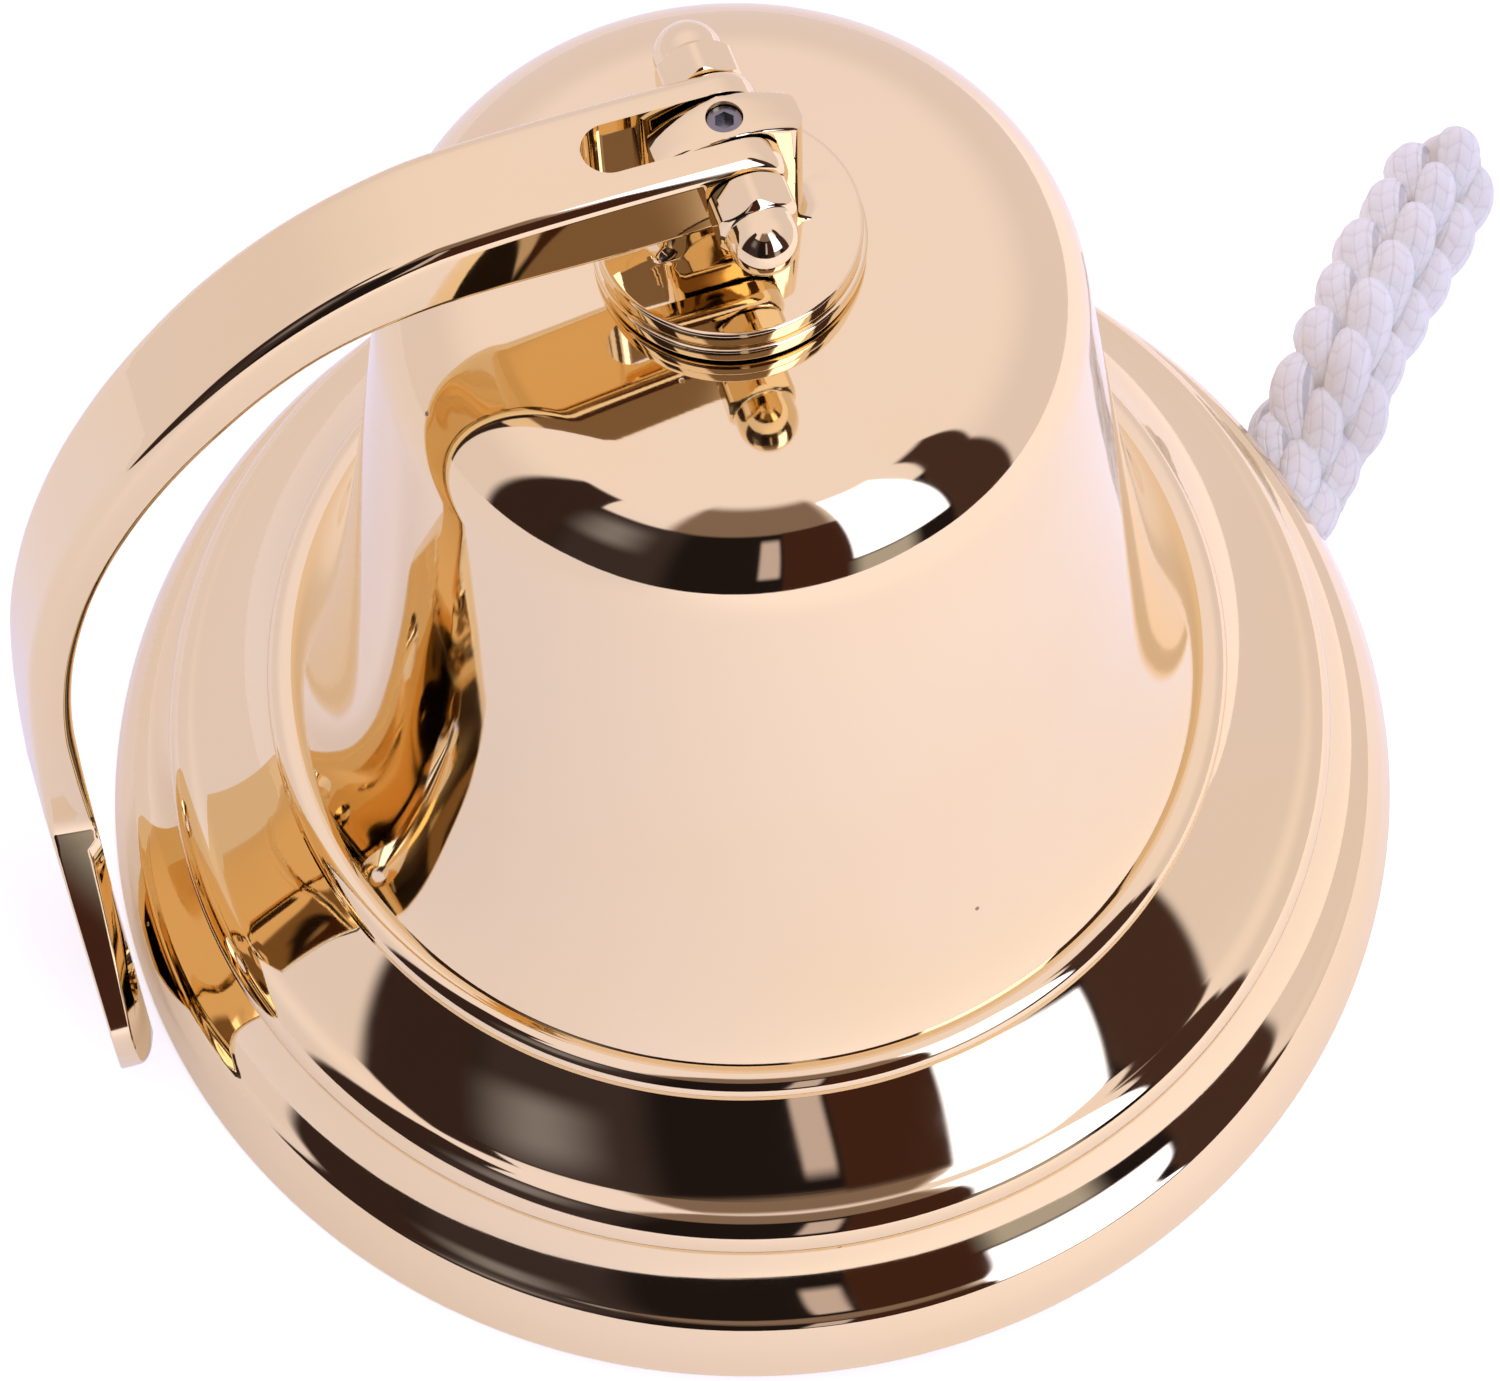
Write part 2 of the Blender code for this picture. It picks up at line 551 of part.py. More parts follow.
bore = CLAPPER_ROD_RADIUS + 0.0002
boss = math.acos(bore * 1.35 / BALL_RADIUS)
ball_face = BALL_RADIUS * math.sin(boss) * 1.03
ball = [(bore, ball_centre + ball_face), (bore * 1.3, ball_centre + ball_face)]
ball += arc_points((0.0, ball_centre), BALL_RADIUS, boss, -boss, 14)
ball += [(bore * 1.3, ball_centre - ball_face), (bore, ball_centre - ball_face)]
turned("clapper_ball", ball, steps=36)

# --- shackle ------------------------------------------------------------------------------------
shackle_pin_axis = frame_matrix(SWING_SIDE, UP, SWING_AXIS * -1.0, UP * tail_eye)
turned(
    "shackle_pin",
    [(0.0, 0.0128), (0.0036, 0.0128), (0.0036, 0.0102), (0.0022, 0.0102), (0.0022, -0.0112), (0.0, -0.0112)],
    place=shackle_pin_axis, steps=20, closed=False, colour=(0.80, 0.62, 0.38),
)
bow_drop = 0.0120
inner_arc = arc_points((0.0, -bow_drop), SHACKLE_HALF - SHACKLE_WIRE, math.pi, math.tau, 10)
outer_arc = arc_points((0.0, -bow_drop), SHACKLE_HALF + SHACKLE_WIRE, math.tau, math.pi, 10)
bow_top = 0.0036
bow_outline = (
    [(SHACKLE_WIRE - SHACKLE_HALF, bow_top)] + inner_arc + [(SHACKLE_HALF - SHACKLE_WIRE, bow_top)]
    + [(SHACKLE_HALF + SHACKLE_WIRE, bow_top)] + outer_arc + [(-SHACKLE_HALF - SHACKLE_WIRE, bow_top)]
)
bow_place = frame_matrix(SWING_AXIS, UP, SWING_SIDE, UP * tail_eye)
bow = prism("shackle_bow", bow_outline, SHACKLE_HALF_THICKNESS, bow_place)
shackle = add("shackle_bow", bow, (0.80, 0.62, 0.38))
shackle_bore = cylinder_cut("shackle_bore", 0.0022 + PIN_CLEARANCE, 0.020, shackle_pin_axis, 20)
combine(shackle, shackle_bore, "DIFFERENCE")

# --- lean and place -----------------------------------------------------------------------------
LIFT = R * math.sin(LEAN)
lean = Matrix.Translation(UP * LIFT) @ Matrix.Rotation(-LEAN, 4, SWING_AXIS)
pivot = UP * CLAPPER_PIVOT
hang = Matrix.Translation(lean @ pivot - pivot)
PLUMB = {"clapper_rod", "clapper_ball", "shackle_pin", "shackle_bow"}
for part in list(PARTS.objects):
    carry = hang if part.name in PLUMB else lean
    for piece in [part] + [step.object for step in part.modifiers if step.type == "BOOLEAN"]:
        piece.matrix_world = carry @ piece.matrix_world

# --- lanyard ------------------------------------------------------------------------------------


def smooth(points, steps):
    """Catmull-Rom curve through the points, ends included."""
    out = [points[0]]
    padded = [points[0] * 2 - points[1]] + points + [points[-1] * 2 - points[-2]]
    for a, b, c, d in zip(padded, padded[1:], padded[2:], padded[3:]):
        for i in range(1, steps + 1):
            t = i / steps
            bend = (a * 2 - b * 5 + c * 4 - d) * t**2 + (b * 3 - a - c * 3 + d) * t**3
            out.append(0.5 * (b * 2 + (c - a) * t + bend))
    return out


def along_side(reach, height):
    return SWING_SIDE * reach + hang.to_translation() + UP * (height - hang.to_translation().z)


bow_bottom = hang.to_translation().z + tail_eye - bow_drop - SHACKLE_HALF
wrap = math.hypot(SHACKLE_WIRE, SHACKLE_HALF_THICKNESS) + GAP + LOOP_CORD_RADIUS
loop_end = ROPE_START - 0.0020
loop_wrap = [
    along_side(-wrap * math.sin(a), bow_bottom + wrap * math.cos(a))
    for a in [math.pi * i / 5 for i in range(6)]
]
leg_heights = [                  # each leg: its height at the rope, then at the bow, and its rise
    (0.0195, bow_bottom + 0.94 * wrap, (0.0, 0.0, 0.35, 1.0)),
    (0.0095, bow_bottom - wrap, (0.0, 0.0, 0.07, 0.61)),
]
upper_leg, lower_leg = (
    [along_side(reach, at_rope + (at_bow - at_rope) * share)
     for reach, share in zip((loop_end, loop_end - 0.004, 0.024, 0.011), shares)]
    for at_rope, at_bow, shares in leg_heights
)
loop_route = upper_leg + loop_wrap + lower_leg[::-1]
tube("lanyard_loop", smooth(loop_route, 3), LOOP_CORD_RADIUS, 2, colour=COTTON, metallic=0.0, roughness=0.9)

rope_plan = [along_side(ROPE_START, 0.0), along_side(ROPE_START + 0.008, 0.0)]
rope_plan += [
    Vector((x * R, y * R, 0.0))
    for x, y in [
        (0.430, 0.204), (0.545, 0.245), (0.720, 0.332), (0.874, 0.441), (0.972, 0.612),
        (1.060, 0.780), (1.142, 0.920), (1.215, 1.045), (1.262, 1.135),
    ]
]
rope_line, rope_radii = [], []
for point in smooth(rope_plan, 4):
    past = abs(point.xy.length - 0.985 * R) - 0.0060
    ease = min(max(past / 0.0280, 0.0), 1.0)
    radius = ROPE_PRESSED_RADIUS + (ROPE_RADIUS - ROPE_PRESSED_RADIUS) * ease * ease * (3 - 2 * ease)
    rope_radii.append(radius)
    rope_line.append(Vector((point.x, point.y, radius + GAP)))
tube("lanyard", rope_line, ROPE_RADIUS, 3, radii=rope_radii, colour=COTTON, metallic=0.0, roughness=0.9)

# --- put the middle of the object's footprint on the origin -------------------------------------
CORDS = {"lanyard", "lanyard_loop"}
bpy.context.view_layer.update()
graph = bpy.context.evaluated_depsgraph_get()
corners = []
for part in PARTS.objects:
    if part.name not in CORDS:
        shown = part.evaluated_get(graph)
        mesh = shown.to_mesh()
        corners += [shown.matrix_world @ vertex.co for vertex in mesh.vertices]
        shown.to_mesh_clear()
low, high = ([pick(c[i] for c in corners) for i in range(3)] for pick in (min, max))
home = Matrix.Translation((-(low[0] + high[0]) / 2, -(low[1] + high[1]) / 2, -low[2]))
for piece in list(PARTS.objects) + list(CUTTERS.objects):
    piece.matrix_world = home @ piece.matrix_world
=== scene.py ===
"""A brass ship's bell on its folding wall bracket, with a braided cotton lanyard under its lip.

The bright pieces are redrawn here at the fineness that a mirror polish needs, in the bell's own frame
(axis up, mouth on z = 0), and carried to the leaning bell by one matrix. Lengths are in metres.
"""

import math

import bmesh
import bpy
from mathutils import Matrix, Vector


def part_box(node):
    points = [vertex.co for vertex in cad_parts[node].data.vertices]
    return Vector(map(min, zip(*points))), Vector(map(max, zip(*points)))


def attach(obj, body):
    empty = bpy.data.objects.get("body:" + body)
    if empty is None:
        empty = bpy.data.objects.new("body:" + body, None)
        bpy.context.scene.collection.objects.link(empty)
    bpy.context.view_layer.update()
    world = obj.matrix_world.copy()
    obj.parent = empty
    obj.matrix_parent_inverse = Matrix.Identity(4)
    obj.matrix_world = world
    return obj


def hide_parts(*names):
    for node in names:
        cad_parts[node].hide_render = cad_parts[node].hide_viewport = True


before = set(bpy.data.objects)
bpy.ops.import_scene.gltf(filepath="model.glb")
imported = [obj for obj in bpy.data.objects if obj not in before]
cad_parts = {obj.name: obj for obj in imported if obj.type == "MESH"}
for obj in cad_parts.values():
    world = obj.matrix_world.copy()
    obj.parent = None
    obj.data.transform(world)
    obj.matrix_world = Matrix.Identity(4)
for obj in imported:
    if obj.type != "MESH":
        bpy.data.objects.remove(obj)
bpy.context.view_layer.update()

# --- sizes shared with the frame ----------------------------------------------------------------
R = 0.140                              # mouth radius
WALL = 0.0044
CROWN_TOP = 1.432 * R
CROWN_UNDER = CROWN_TOP - 0.0060
GAP = 0.0003
PIN_HEIGHT = 1.6375 * R
PIN_RADIUS = 0.0040
BRACKET_YAW = math.radians(16.8)
ROPE_BEARING = math.radians(27.0)
LEAN = math.radians(3.2)
CLAPPER_PIVOT = CROWN_UNDER - 0.0290
CLAPPER_LENGTH = 0.1040
BALL_RADIUS = 0.0210
TONGUE_REACH = 0.0072
SHACKLE_REACH = 0.0182
STUD_HOLE = 0.0062
PIN_CLEARANCE = 0.00007
ROPE_START = 0.0360
ROPE_RADIUS = 0.0140
ROPE_PRESSED_RADIUS = 0.0070
LOOP_CORD_RADIUS = 0.0035

S = Vector((-math.cos(BRACKET_YAW), -math.sin(BRACKET_YAW), 0.0))
T = Vector((math.sin(BRACKET_YAW), -math.cos(BRACKET_YAW), 0.0))
UP = Vector((0.0, 0.0, 1.0))
SWING_SIDE = Vector((math.cos(ROPE_BEARING), math.sin(ROPE_BEARING), 0.0))
SWING_AXIS = Vector((-math.sin(ROPE_BEARING), math.cos(ROPE_BEARING), 0.0))

lean = Matrix.Translation(UP * R * math.sin(LEAN)) @ Matrix.Rotation(-LEAN, 4, SWING_AXIS)
rod_low, rod_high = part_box("clapper_rod")
pivot_now = Vector(((rod_low.x + rod_high.x) / 2, (rod_low.y + rod_high.y) / 2, rod_high.z - TONGUE_REACH))
home = Matrix.Translation(pivot_now - lean @ (UP * CLAPPER_PIVOT))
bell_frame = home @ lean

# --- camera -------------------------------------------------------------------------------------
CAMERA_SPOT = Vector((0.0004, -0.3370, 0.7057))     # in the bell's frame
CAMERA_DIP = math.radians(63.44)
CAMERA_ROLL = math.radians(-2.32)
CAMERA_LENS = 85.29

camera = bpy.data.objects.new("camera", bpy.data.cameras.new("camera"))
bpy.context.scene.collection.objects.link(camera)
camera.data.sensor_width = 36.0
camera.data.lens = CAMERA_LENS
camera.data.clip_start = 0.01
camera.matrix_world = (
    bell_frame @ Matrix.Translation(CAMERA_SPOT)
    @ Matrix.Rotation(math.pi / 2 - CAMERA_DIP, 4, "X") @ Matrix.Rotation(CAMERA_ROLL, 4, "Z")
)
bpy.context.scene.camera = camera


# --- node writing -------------------------------------------------------------------------------
class Link:
    """One output of a node. Arithmetic on it adds Math nodes to its tree."""

    def __init__(self, net, socket):
        self.net = net
        self.socket = socket

    def math(self, operation, first, second=0.0):
        return self.net.node("ShaderNodeMath", {"operation": operation}, {0: first, 1: second})

    def __add__(self, other):
        return self.math("ADD", self, other)

    def __radd__(self, other):
        return self.math("ADD", other, self)

    def __sub__(self, other):
        return self.math("SUBTRACT", self, other)

    def __rsub__(self, other):
        return self.math("SUBTRACT", other, self)

    def __mul__(self, other):
        return self.math("MULTIPLY", self, other)

    def __rmul__(self, other):
        return self.math("MULTIPLY", other, self)

    def __truediv__(self, other):
        return self.math("DIVIDE", self, other)

    def __mod__(self, other):
        return self.math("FLOORED_MODULO", self, other)

    def __pow__(self, other):
        return self.math("POWER", self, other)


class Net:
    """A node tree that is written one node at a time."""

    def __init__(self, tree):
        self.tree = tree
        tree.nodes.clear()

    def node(self, kind, settings=None, sockets=None, out=0):
        """Adds a node: its settings first, then the values or links of its sockets."""
        made = self.tree.nodes.new(kind)
        for name, value in (settings or {}).items():
            setattr(made, name, value)
        for name, value in (sockets or {}).items():
            if isinstance(value, Link):
                self.tree.links.new(value.socket, made.inputs[name])
            else:
                made.inputs[name].default_value = value
        return Link(self, made.outputs[out]) if len(made.outputs) else made

    def unary(self, operation, value, second=0.0):
        return self.node("ShaderNodeMath", {"operation": operation}, {0: value, 1: second})

    def vector(self, operation, first, second=None, out=0):
        sockets = {0: first}
        if second is not None:
            sockets[1] = second
        return self.node("ShaderNodeVectorMath", {"operation": operation}, sockets, out)

    def mix(self, factor, first, second):
        settings = {"data_type": "RGBA", "clamp_factor": True}
        return self.node("ShaderNodeMix", settings, {0: factor, 6: first, 7: second}, out=2)

    def step(self, value, low, high, start=0.0, stop=1.0):
        """Eases from start to stop as value goes from low to high."""
        sockets = {"Value": value, "From Min": low, "From Max": high, "To Min": start, "To Max": stop}
        return self.node("ShaderNodeMapRange", {"interpolation_type": "SMOOTHSTEP"}, sockets)

    def noise(self, place, scale, detail=2.0, roughness=0.5):
        sockets = {"Vector": place, "Scale": scale, "Detail": detail, "Roughness": roughness}
        return self.node("ShaderNodeTexNoise", {}, sockets)

    def axes(self, place):
        return [self.node("ShaderNodeSeparateXYZ", {}, {0: place}, out=i) for i in range(3)]

    def joined(self, x, y, z):
        return self.node("ShaderNodeCombineXYZ", {}, {0: x, 1: y, 2: z})


def colour(red, green, blue):
    return (red, green, blue, 1.0)


# --- brass --------------------------------------------------------------------------------------
PALE_BRASS = (0.880, 0.705, 0.425)
WARM_BRASS = (0.875, 0.685, 0.385)
axis_turn = bell_frame.to_euler()


def brass(name, pale=PALE_BRASS, warm=WARM_BRASS, gloss=0.035, waviness=1.0, turned_marks=1.0):
    """Mirror-polished brass: slow colour drift, wipe smears, buffing lines round the axis, few pits."""
    made = bpy.data.materials.new(name)
    made.use_nodes = True
    net = Net(made.node_tree)
    place = net.node("ShaderNodeTexCoord", {}, {}, out="Object")
    centred = net.node(
        "ShaderNodeMapping", {"vector_type": "TEXTURE"},
        {"Vector": place, "Location": bell_frame.to_translation(), "Rotation": axis_turn},
    )
    x, y, z = net.axes(centred)
    reach = net.unary("SQRT", x * x + y * y)
    turn = net.unary("ARCTAN2", y, x)
    drift = net.noise(centred, 9.0, 3.0)
    smear = net.noise(centred, 55.0, 5.0, 0.62)
    ripple = net.noise(centred, 26.0, 1.0, 0.4)
    lines = net.noise(net.joined(reach * 2600.0, turn * 5.0, z * 2600.0), 1.0, 3.0, 0.6)
    pits = net.node(
        "ShaderNodeTexVoronoi", {"feature": "F1"}, {"Vector": centred, "Scale": 95.0}
    )
    rare = net.noise(centred, 31.0, 0.0)
    pit = net.step(pits, 0.055, 0.030) * net.step(rare, 0.66, 0.70)
    tint = net.mix(net.step(drift, 0.35, 0.65), colour(*pale), colour(*warm))
    tint = net.mix(pit * 0.75, tint, colour(0.18, 0.10, 0.05))
    rough = gloss + net.step(smear, 0.45, 0.80) * 0.030 + pit * 0.3 + net.step(lines, 0.5, 0.9) * 0.012
    height = ripple * (0.00012 * waviness) + lines * (0.0000010 * turned_marks) - pit * 0.00008
    bump = net.node("ShaderNodeBump", {}, {"Strength": 1.0, "Distance": 1.0, "Height": height})
    shader = net.node(
        "ShaderNodeBsdfPrincipled", {},
        {"Base Color": tint, "Metallic": 1.0, "Roughness": rough, "Normal": bump},
    )
    net.node("ShaderNodeOutputMaterial", {}, {0: shader})
    return made


mirror_brass = brass("mirror_brass")
bracket_brass = brass("bracket_brass", turned_marks=0.3, waviness=1.2)
hardware_brass = brass("hardware_brass", waviness=0.5)
dull_steel = brass("dull_steel", (0.30, 0.28, 0.26), (0.22, 0.20, 0.19), gloss=0.30, turned_marks=4.0)
plain_brass = brass("plain_brass", (0.70, 0.54, 0.30), (0.56, 0.41, 0.22), gloss=0.26, turned_marks=6.0)
turned_brass = brass("turned_brass", (0.84, 0.66, 0.38), (0.80, 0.61, 0.33), gloss=0.12, turned_marks=4.0)
wire_steel = brass("wire_steel", (0.56, 0.55, 0.53), (0.46, 0.45, 0.43), gloss=0.24, turned_marks=3.0)


# --- shapes -------------------------------------------------------------------------------------
def arc(centre, radius, start, stop, steps):
    return [
        (centre[0] + radius * math.cos(start + (stop - start) * i / steps),
         centre[1] + radius * math.sin(start + (stop - start) * i / steps))
        for i in range(steps + 1)
    ]


def bezier(points, steps):
    """Points along a quadratic or cubic curve, without its first point."""
    out = []
    order = len(points) - 1
    for i in range(1, steps + 1):
        t = i / steps
        weights = [math.comb(order, k) * t**k * (1 - t) ** (order - k) for k in range(order + 1)]
        out.append(tuple(sum(w * p[axis] for w, p in zip(weights, points)) for axis in (0, 1)))
    return out


def bead(start, stop, bulge, steps):
    """A rounded bead between two creases, without its first point."""
    middle = Vector(((start[0] + stop[0]) / 2, (start[1] + stop[1]) / 2))
    across = Vector((start[1] - stop[1], stop[0] - start[0])).normalized()
    half = math.dist(start, stop) / 2
    radius = (half * half + bulge * bulge) / (2 * bulge)
    centre = middle - across * (radius - bulge)
    first = math.atan2(start[1] - centre.y, start[0] - centre.x)
    last = math.atan2(stop[1] - centre.y, stop[0] - centre.x)
    return arc(centre, radius, first, last, steps)[1:]


def smooth(points, steps):
    """Catmull-Rom curve through the points, ends included."""
    points = [Vector(p) for p in points]
    out = [points[0]]
    padded = [points[0] * 2 - points[1]] + points + [points[-1] * 2 - points[-2]]
    for a, b, c, d in zip(padded, padded[1:], padded[2:], padded[3:]):
        for i in range(1, steps + 1):
            t = i / steps
            bend = (a * 2 - b * 5 + c * 4 - d) * t**2 + (b * 3 - a - c * 3 + d) * t**3
            out.append(0.5 * (b * 2 + (c - a) * t + bend))
    return out


def eased(points, radius, steps=4, ends=False):
    """Rounds every corner of a polyline, or of a closed outline, by at most radius."""
    out = [] if ends else [tuple(points[0])]
    n = len(points)
    for i in range(0 if ends else 1, n if ends else n - 1):
        a, b, c = (Vector(points[(i + k) % n]) for k in (-1, 0, 1))
        cut = min(radius, 0.45 * (a - b).length, 0.45 * (c - b).length)
        start = b + (a - b).normalized() * cut
        stop = b + (c - b).normalized() * cut
        out += [tuple(start)] + bezier([start, b, stop], steps)
    return out if ends else out + [tuple(points[-1])]


def scaled(points):
    """Outline in mouth radii to metres."""
    return [(r * R, z * R) for r, z in points]


def offset(points, distance):
    """Moves an open polyline to its inner side."""
    out = []
    for i, (r, z) in enumerate(points):
        before, after = points[max(i - 1, 0)], points[min(i + 1, len(points) - 1)]
        along = Vector((after[0] - before[0], after[1] - before[1])).normalized()
        out.append((r + along.y * distance, z - along.x * distance))
    return out


def frame_matrix(x, y, z, origin):
    turn = Matrix((x, y, z)).transposed().to_4x4()
    return Matrix.Translation(origin) @ turn


def new_object(name, mesh):
    made = bpy.data.objects.new(name, mesh)
    bpy.context.scene.collection.objects.link(made)
    return made


def turned(name, profile, place=Matrix.Identity(4), steps=96, closed=True):
    """Turns an (r, z) profile about local Z."""
    mesh = bpy.data.meshes.new(name)
    n = len(profile)
    edges = [(i, i + 1) for i in range(n - 1)] + ([(n - 1, 0)] if closed else [])
    mesh.from_pydata([(r, 0.0, z) for r, z in profile], edges, [])
    made = new_object(name, mesh)
    turn = made.modifiers.new("turn", "SCREW")
    turn.steps = turn.render_steps = steps
    turn.use_merge_vertices = True
    turn.merge_threshold = 0.000002
    turn.use_smooth_shade = True
    made.matrix_world = place
    return made


def prism(name, outline, depth, place):
    """Closed prism: an outline in local XY, centred on local z = 0 and 2 * depth thick."""
    bm = bmesh.new()
    ends = [[bm.verts.new((x, y, side * depth)) for x, y in outline] for side in (-1, 1)]
    bm.faces.new(ends[1])
    bm.faces.new(ends[0][::-1])
    for i in range(len(outline)):
        j = (i + 1) % len(outline)
        bm.faces.new((ends[0][i], ends[0][j], ends[1][j], ends[1][i]))
    bmesh.ops.transform(bm, matrix=place, verts=bm.verts)
    bmesh.ops.recalc_face_normals(bm, faces=bm.faces)
    mesh = bpy.data.meshes.new(name)
    bm.to_mesh(mesh)
    bm.free()
    return new_object(name, mesh)


def rounded_section(half_wide, half_thick, edge):
    """Rounded rectangle, outer side first, with points along its two broad sides."""
    round_a = min(edge, 0.95 * half_wide)
    round_b = min(edge, 0.95 * half_thick)
    points = []
    for side_a, side_b, start in ((1, 1, 0), (-1, 1, 90), (-1, -1, 180), (1, -1, 270)):
        middle = (side_a * (half_wide - round_a), side_b * (half_thick - round_b))
        corner = [
            (middle[0] + round_a * math.cos(math.radians(start + 15 * i)),
             middle[1] + round_b * math.sin(math.radians(start + 15 * i)))
            for i in range(7)
        ]
        if side_a < 0 < side_b or side_b < 0 < side_a:
            begin = points[-1]
            points += [
                (begin[0] + (corner[0][0] - begin[0]) * i / 12, begin[1] + (corner[0][1] - begin[1]) * i / 12)
                for i in range(1, 12)
            ]
        points += corner
    return points


def lofted(name, sections):
    """A closed skin over rings of points that all have the same count."""
    bm = bmesh.new()
    rings = [[bm.verts.new(point) for point in section] for section in sections]
    count = len(rings[0])
    for near, far in zip(rings, rings[1:]):
        for k in range(count):
            bm.faces.new((near[k], near[(k + 1) % count], far[(k + 1) % count], far[k]))
    bm.faces.new(rings[0])
    bm.faces.new(rings[-1][::-1])
    bmesh.ops.recalc_face_normals(bm, faces=bm.faces)
    mesh = bpy.data.meshes.new(name)
    bm.to_mesh(mesh)
    bm.free()
    return new_object(name, mesh)


def combine(target, other, how):
    """Adds a boolean step that settle() works out later."""
    step = target.modifiers.new(how.lower(), "BOOLEAN")
    step.operation = how
    step.solver = "EXACT"
    step.object = other


def rounded(target, width, segments=3, angle=25.0):
    edge = target.modifiers.new("rounded", "BEVEL")
    edge.width = width
    edge.segments = segments
    edge.limit_method = "ANGLE"
    edge.angle_limit = math.radians(angle)
    edge.use_clamp_overlap = True
    edge.miter_outer = "MITER_ARC"


def settle(made, finish, sharp=30.0, weighted=False):
    """Turns an object and its modifiers into a plain mesh in the world, and drops its cutters."""
    if weighted:
        made.data.shade_smooth()
        flat = made.modifiers.new("flat", "WEIGHTED_NORMAL")
        flat.weight = 100
        flat.keep_sharp = True
    bpy.context.view_layer.update()
    graph = bpy.context.evaluated_depsgraph_get()
    mesh = bpy.data.meshes.new_from_object(made.evaluated_get(graph))
    mesh.transform(made.matrix_world)
    spare = [step.object for step in made.modifiers if step.type == "BOOLEAN"]
    made.modifiers.clear()
    for other in spare:
        bpy.data.objects.remove(other, do_unlink=True)
    made.data = mesh
    made.matrix_world = Matrix.Identity(4)
    mesh.materials.clear()
    mesh.materials.append(finish)
    if not weighted:
        mesh.shade_smooth()
        mesh.set_sharp_from_angle(angle=math.radians(sharp))
    return made


def hexagon(across_flats):
    return [
        (across_flats / math.sqrt(3) * math.cos(math.pi / 6 + math.pi * k / 3),
         across_flats / math.sqrt(3) * math.sin(math.pi / 6 + math.pi * k / 3))
        for k in range(6)
    ]


def round_bar(name, radius, half, place, steps=64):
    return prism(name, arc((0.0, 0.0), radius, 0.0, math.tau, steps)[:-1], half, place)


def stands_for(piece, node, body):
    """Hides the CAD node that a piece redraws and hangs the piece on the body it rides on."""
    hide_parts(node)
    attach(piece, body)
    return piece


# --- lanyard ------------------------------------------------------------------------------------
BRAID_COLUMNS = 6
BRAID_PITCH = 0.0134


def cotton(name):
    """Bleached cotton cord with a fine braided sheath that follows each strand, with painted shade deep
    between the strands and in the thread grooves.
    """
    made = bpy.data.materials.new(name)
    made.use_nodes = True
    net = Net(made.node_tree)
    place = net.node("ShaderNodeTexCoord", {}, {}, out="Object")
    weave = net.node("ShaderNodeAttribute", {"attribute_name": "weave"}, {}, out="Vector")
    along, around, depth = net.axes(weave)
    lane = around * 10.0
    side = net.step(lane % 2.0, 0.98, 1.02, -1.0, 1.0)
    slant = along + side * (lane % 1.0 - 0.5) * 0.42
    thread = net.unary("ABSOLUTE", net.unary("SINE", slant * math.pi))
    seam = net.unary("ABSOLUTE", lane % 1.0 - 0.5)
    fibre = net.noise(net.vector("MULTIPLY", weave, (3.0, 60.0, 1.0)), 4.0, 3.0)
    fluff = net.noise(place, 1500.0, 3.0, 0.6)
    shade = net.noise(place, 120.0, 2.0)
    # painted shade: the cotton is darkened where a point lies deep in the rope, between the strands
    crevice_shade = net.step(depth, 0.50, 0.82)
    tint = net.mix(net.step(shade, 0.3, 0.7), colour(0.98, 0.94, 0.82), colour(0.96, 0.91, 0.78))
    tint = net.mix(crevice_shade * 0.85 + 0.15, colour(0.66, 0.56, 0.42), tint)
    # painted shade: darker in the grooves between the threads of the sheath
    tint = net.mix(net.step(thread, 0.45, 0.0) * 0.22, tint, colour(0.72, 0.63, 0.54))
    height = thread * 0.00022 - net.step(seam, 0.36, 0.5) * 0.00016 + fibre * 0.00012 + fluff * 0.00010
    bump = net.node("ShaderNodeBump", {}, {"Strength": 0.9, "Distance": 1.0, "Height": height})
    shader = net.node(
        "ShaderNodeBsdfPrincipled", {},
        {"Base Color": tint, "Roughness": 0.95, "Normal": bump, "Sheen Weight": 0.6,
         "Sheen Roughness": 0.6, "Subsurface Weight": 0.12, "Subsurface Scale": 0.002},
    )
    net.node("ShaderNodeOutputMaterial", {}, {0: shader})
    return made


cotton_finish = cotton("braided_cotton")


def along_side(reach, height):
    return SWING_SIDE * reach + Vector((*pivot_now.xy, height)) - Vector((*home.to_translation().xy, 0.0))


rope_plan = [along_side(ROPE_START, 0.0), along_side(ROPE_START + 0.008, 0.0)]
rope_plan += [
    Vector((x * R, y * R, 0.0))
    for x, y in [
        (0.430, 0.204), (0.545, 0.245), (0.720, 0.332), (0.874, 0.441), (0.972, 0.612),
        (1.060, 0.780), (1.142, 0.920), (1.215, 1.045), (1.262, 1.135),
    ]
]
rope_line, rope_radii = [], []
for point in smooth(rope_plan, 8):
    past = abs(point.xy.length - 0.985 * R) - 0.0060
    ease = min(max(past / 0.0280, 0.0), 1.0)
    radius = ROPE_PRESSED_RADIUS + (ROPE_RADIUS - ROPE_PRESSED_RADIUS) * ease * ease * (3 - 2 * ease)
    rope_radii.append(radius)
    rope_line.append(home @ Vector((point.x, point.y, radius + GAP)))
rope_length = sum((b - a).length for a, b in zip(rope_line, rope_line[1:]))


def route_object(name, points, radii):
    data = bpy.data.curves.new(name, "CURVE")
    data.dimensions = "3D"
    data.twist_mode = "Z_UP"
    spline = data.splines.new("POLY")
    spline.points.add(len(points) - 1)
    for i, point in enumerate(points):
        spline.points[i].co = (*point, 1.0)
        spline.points[i].radius = radii[i]
    return new_object(name, data)


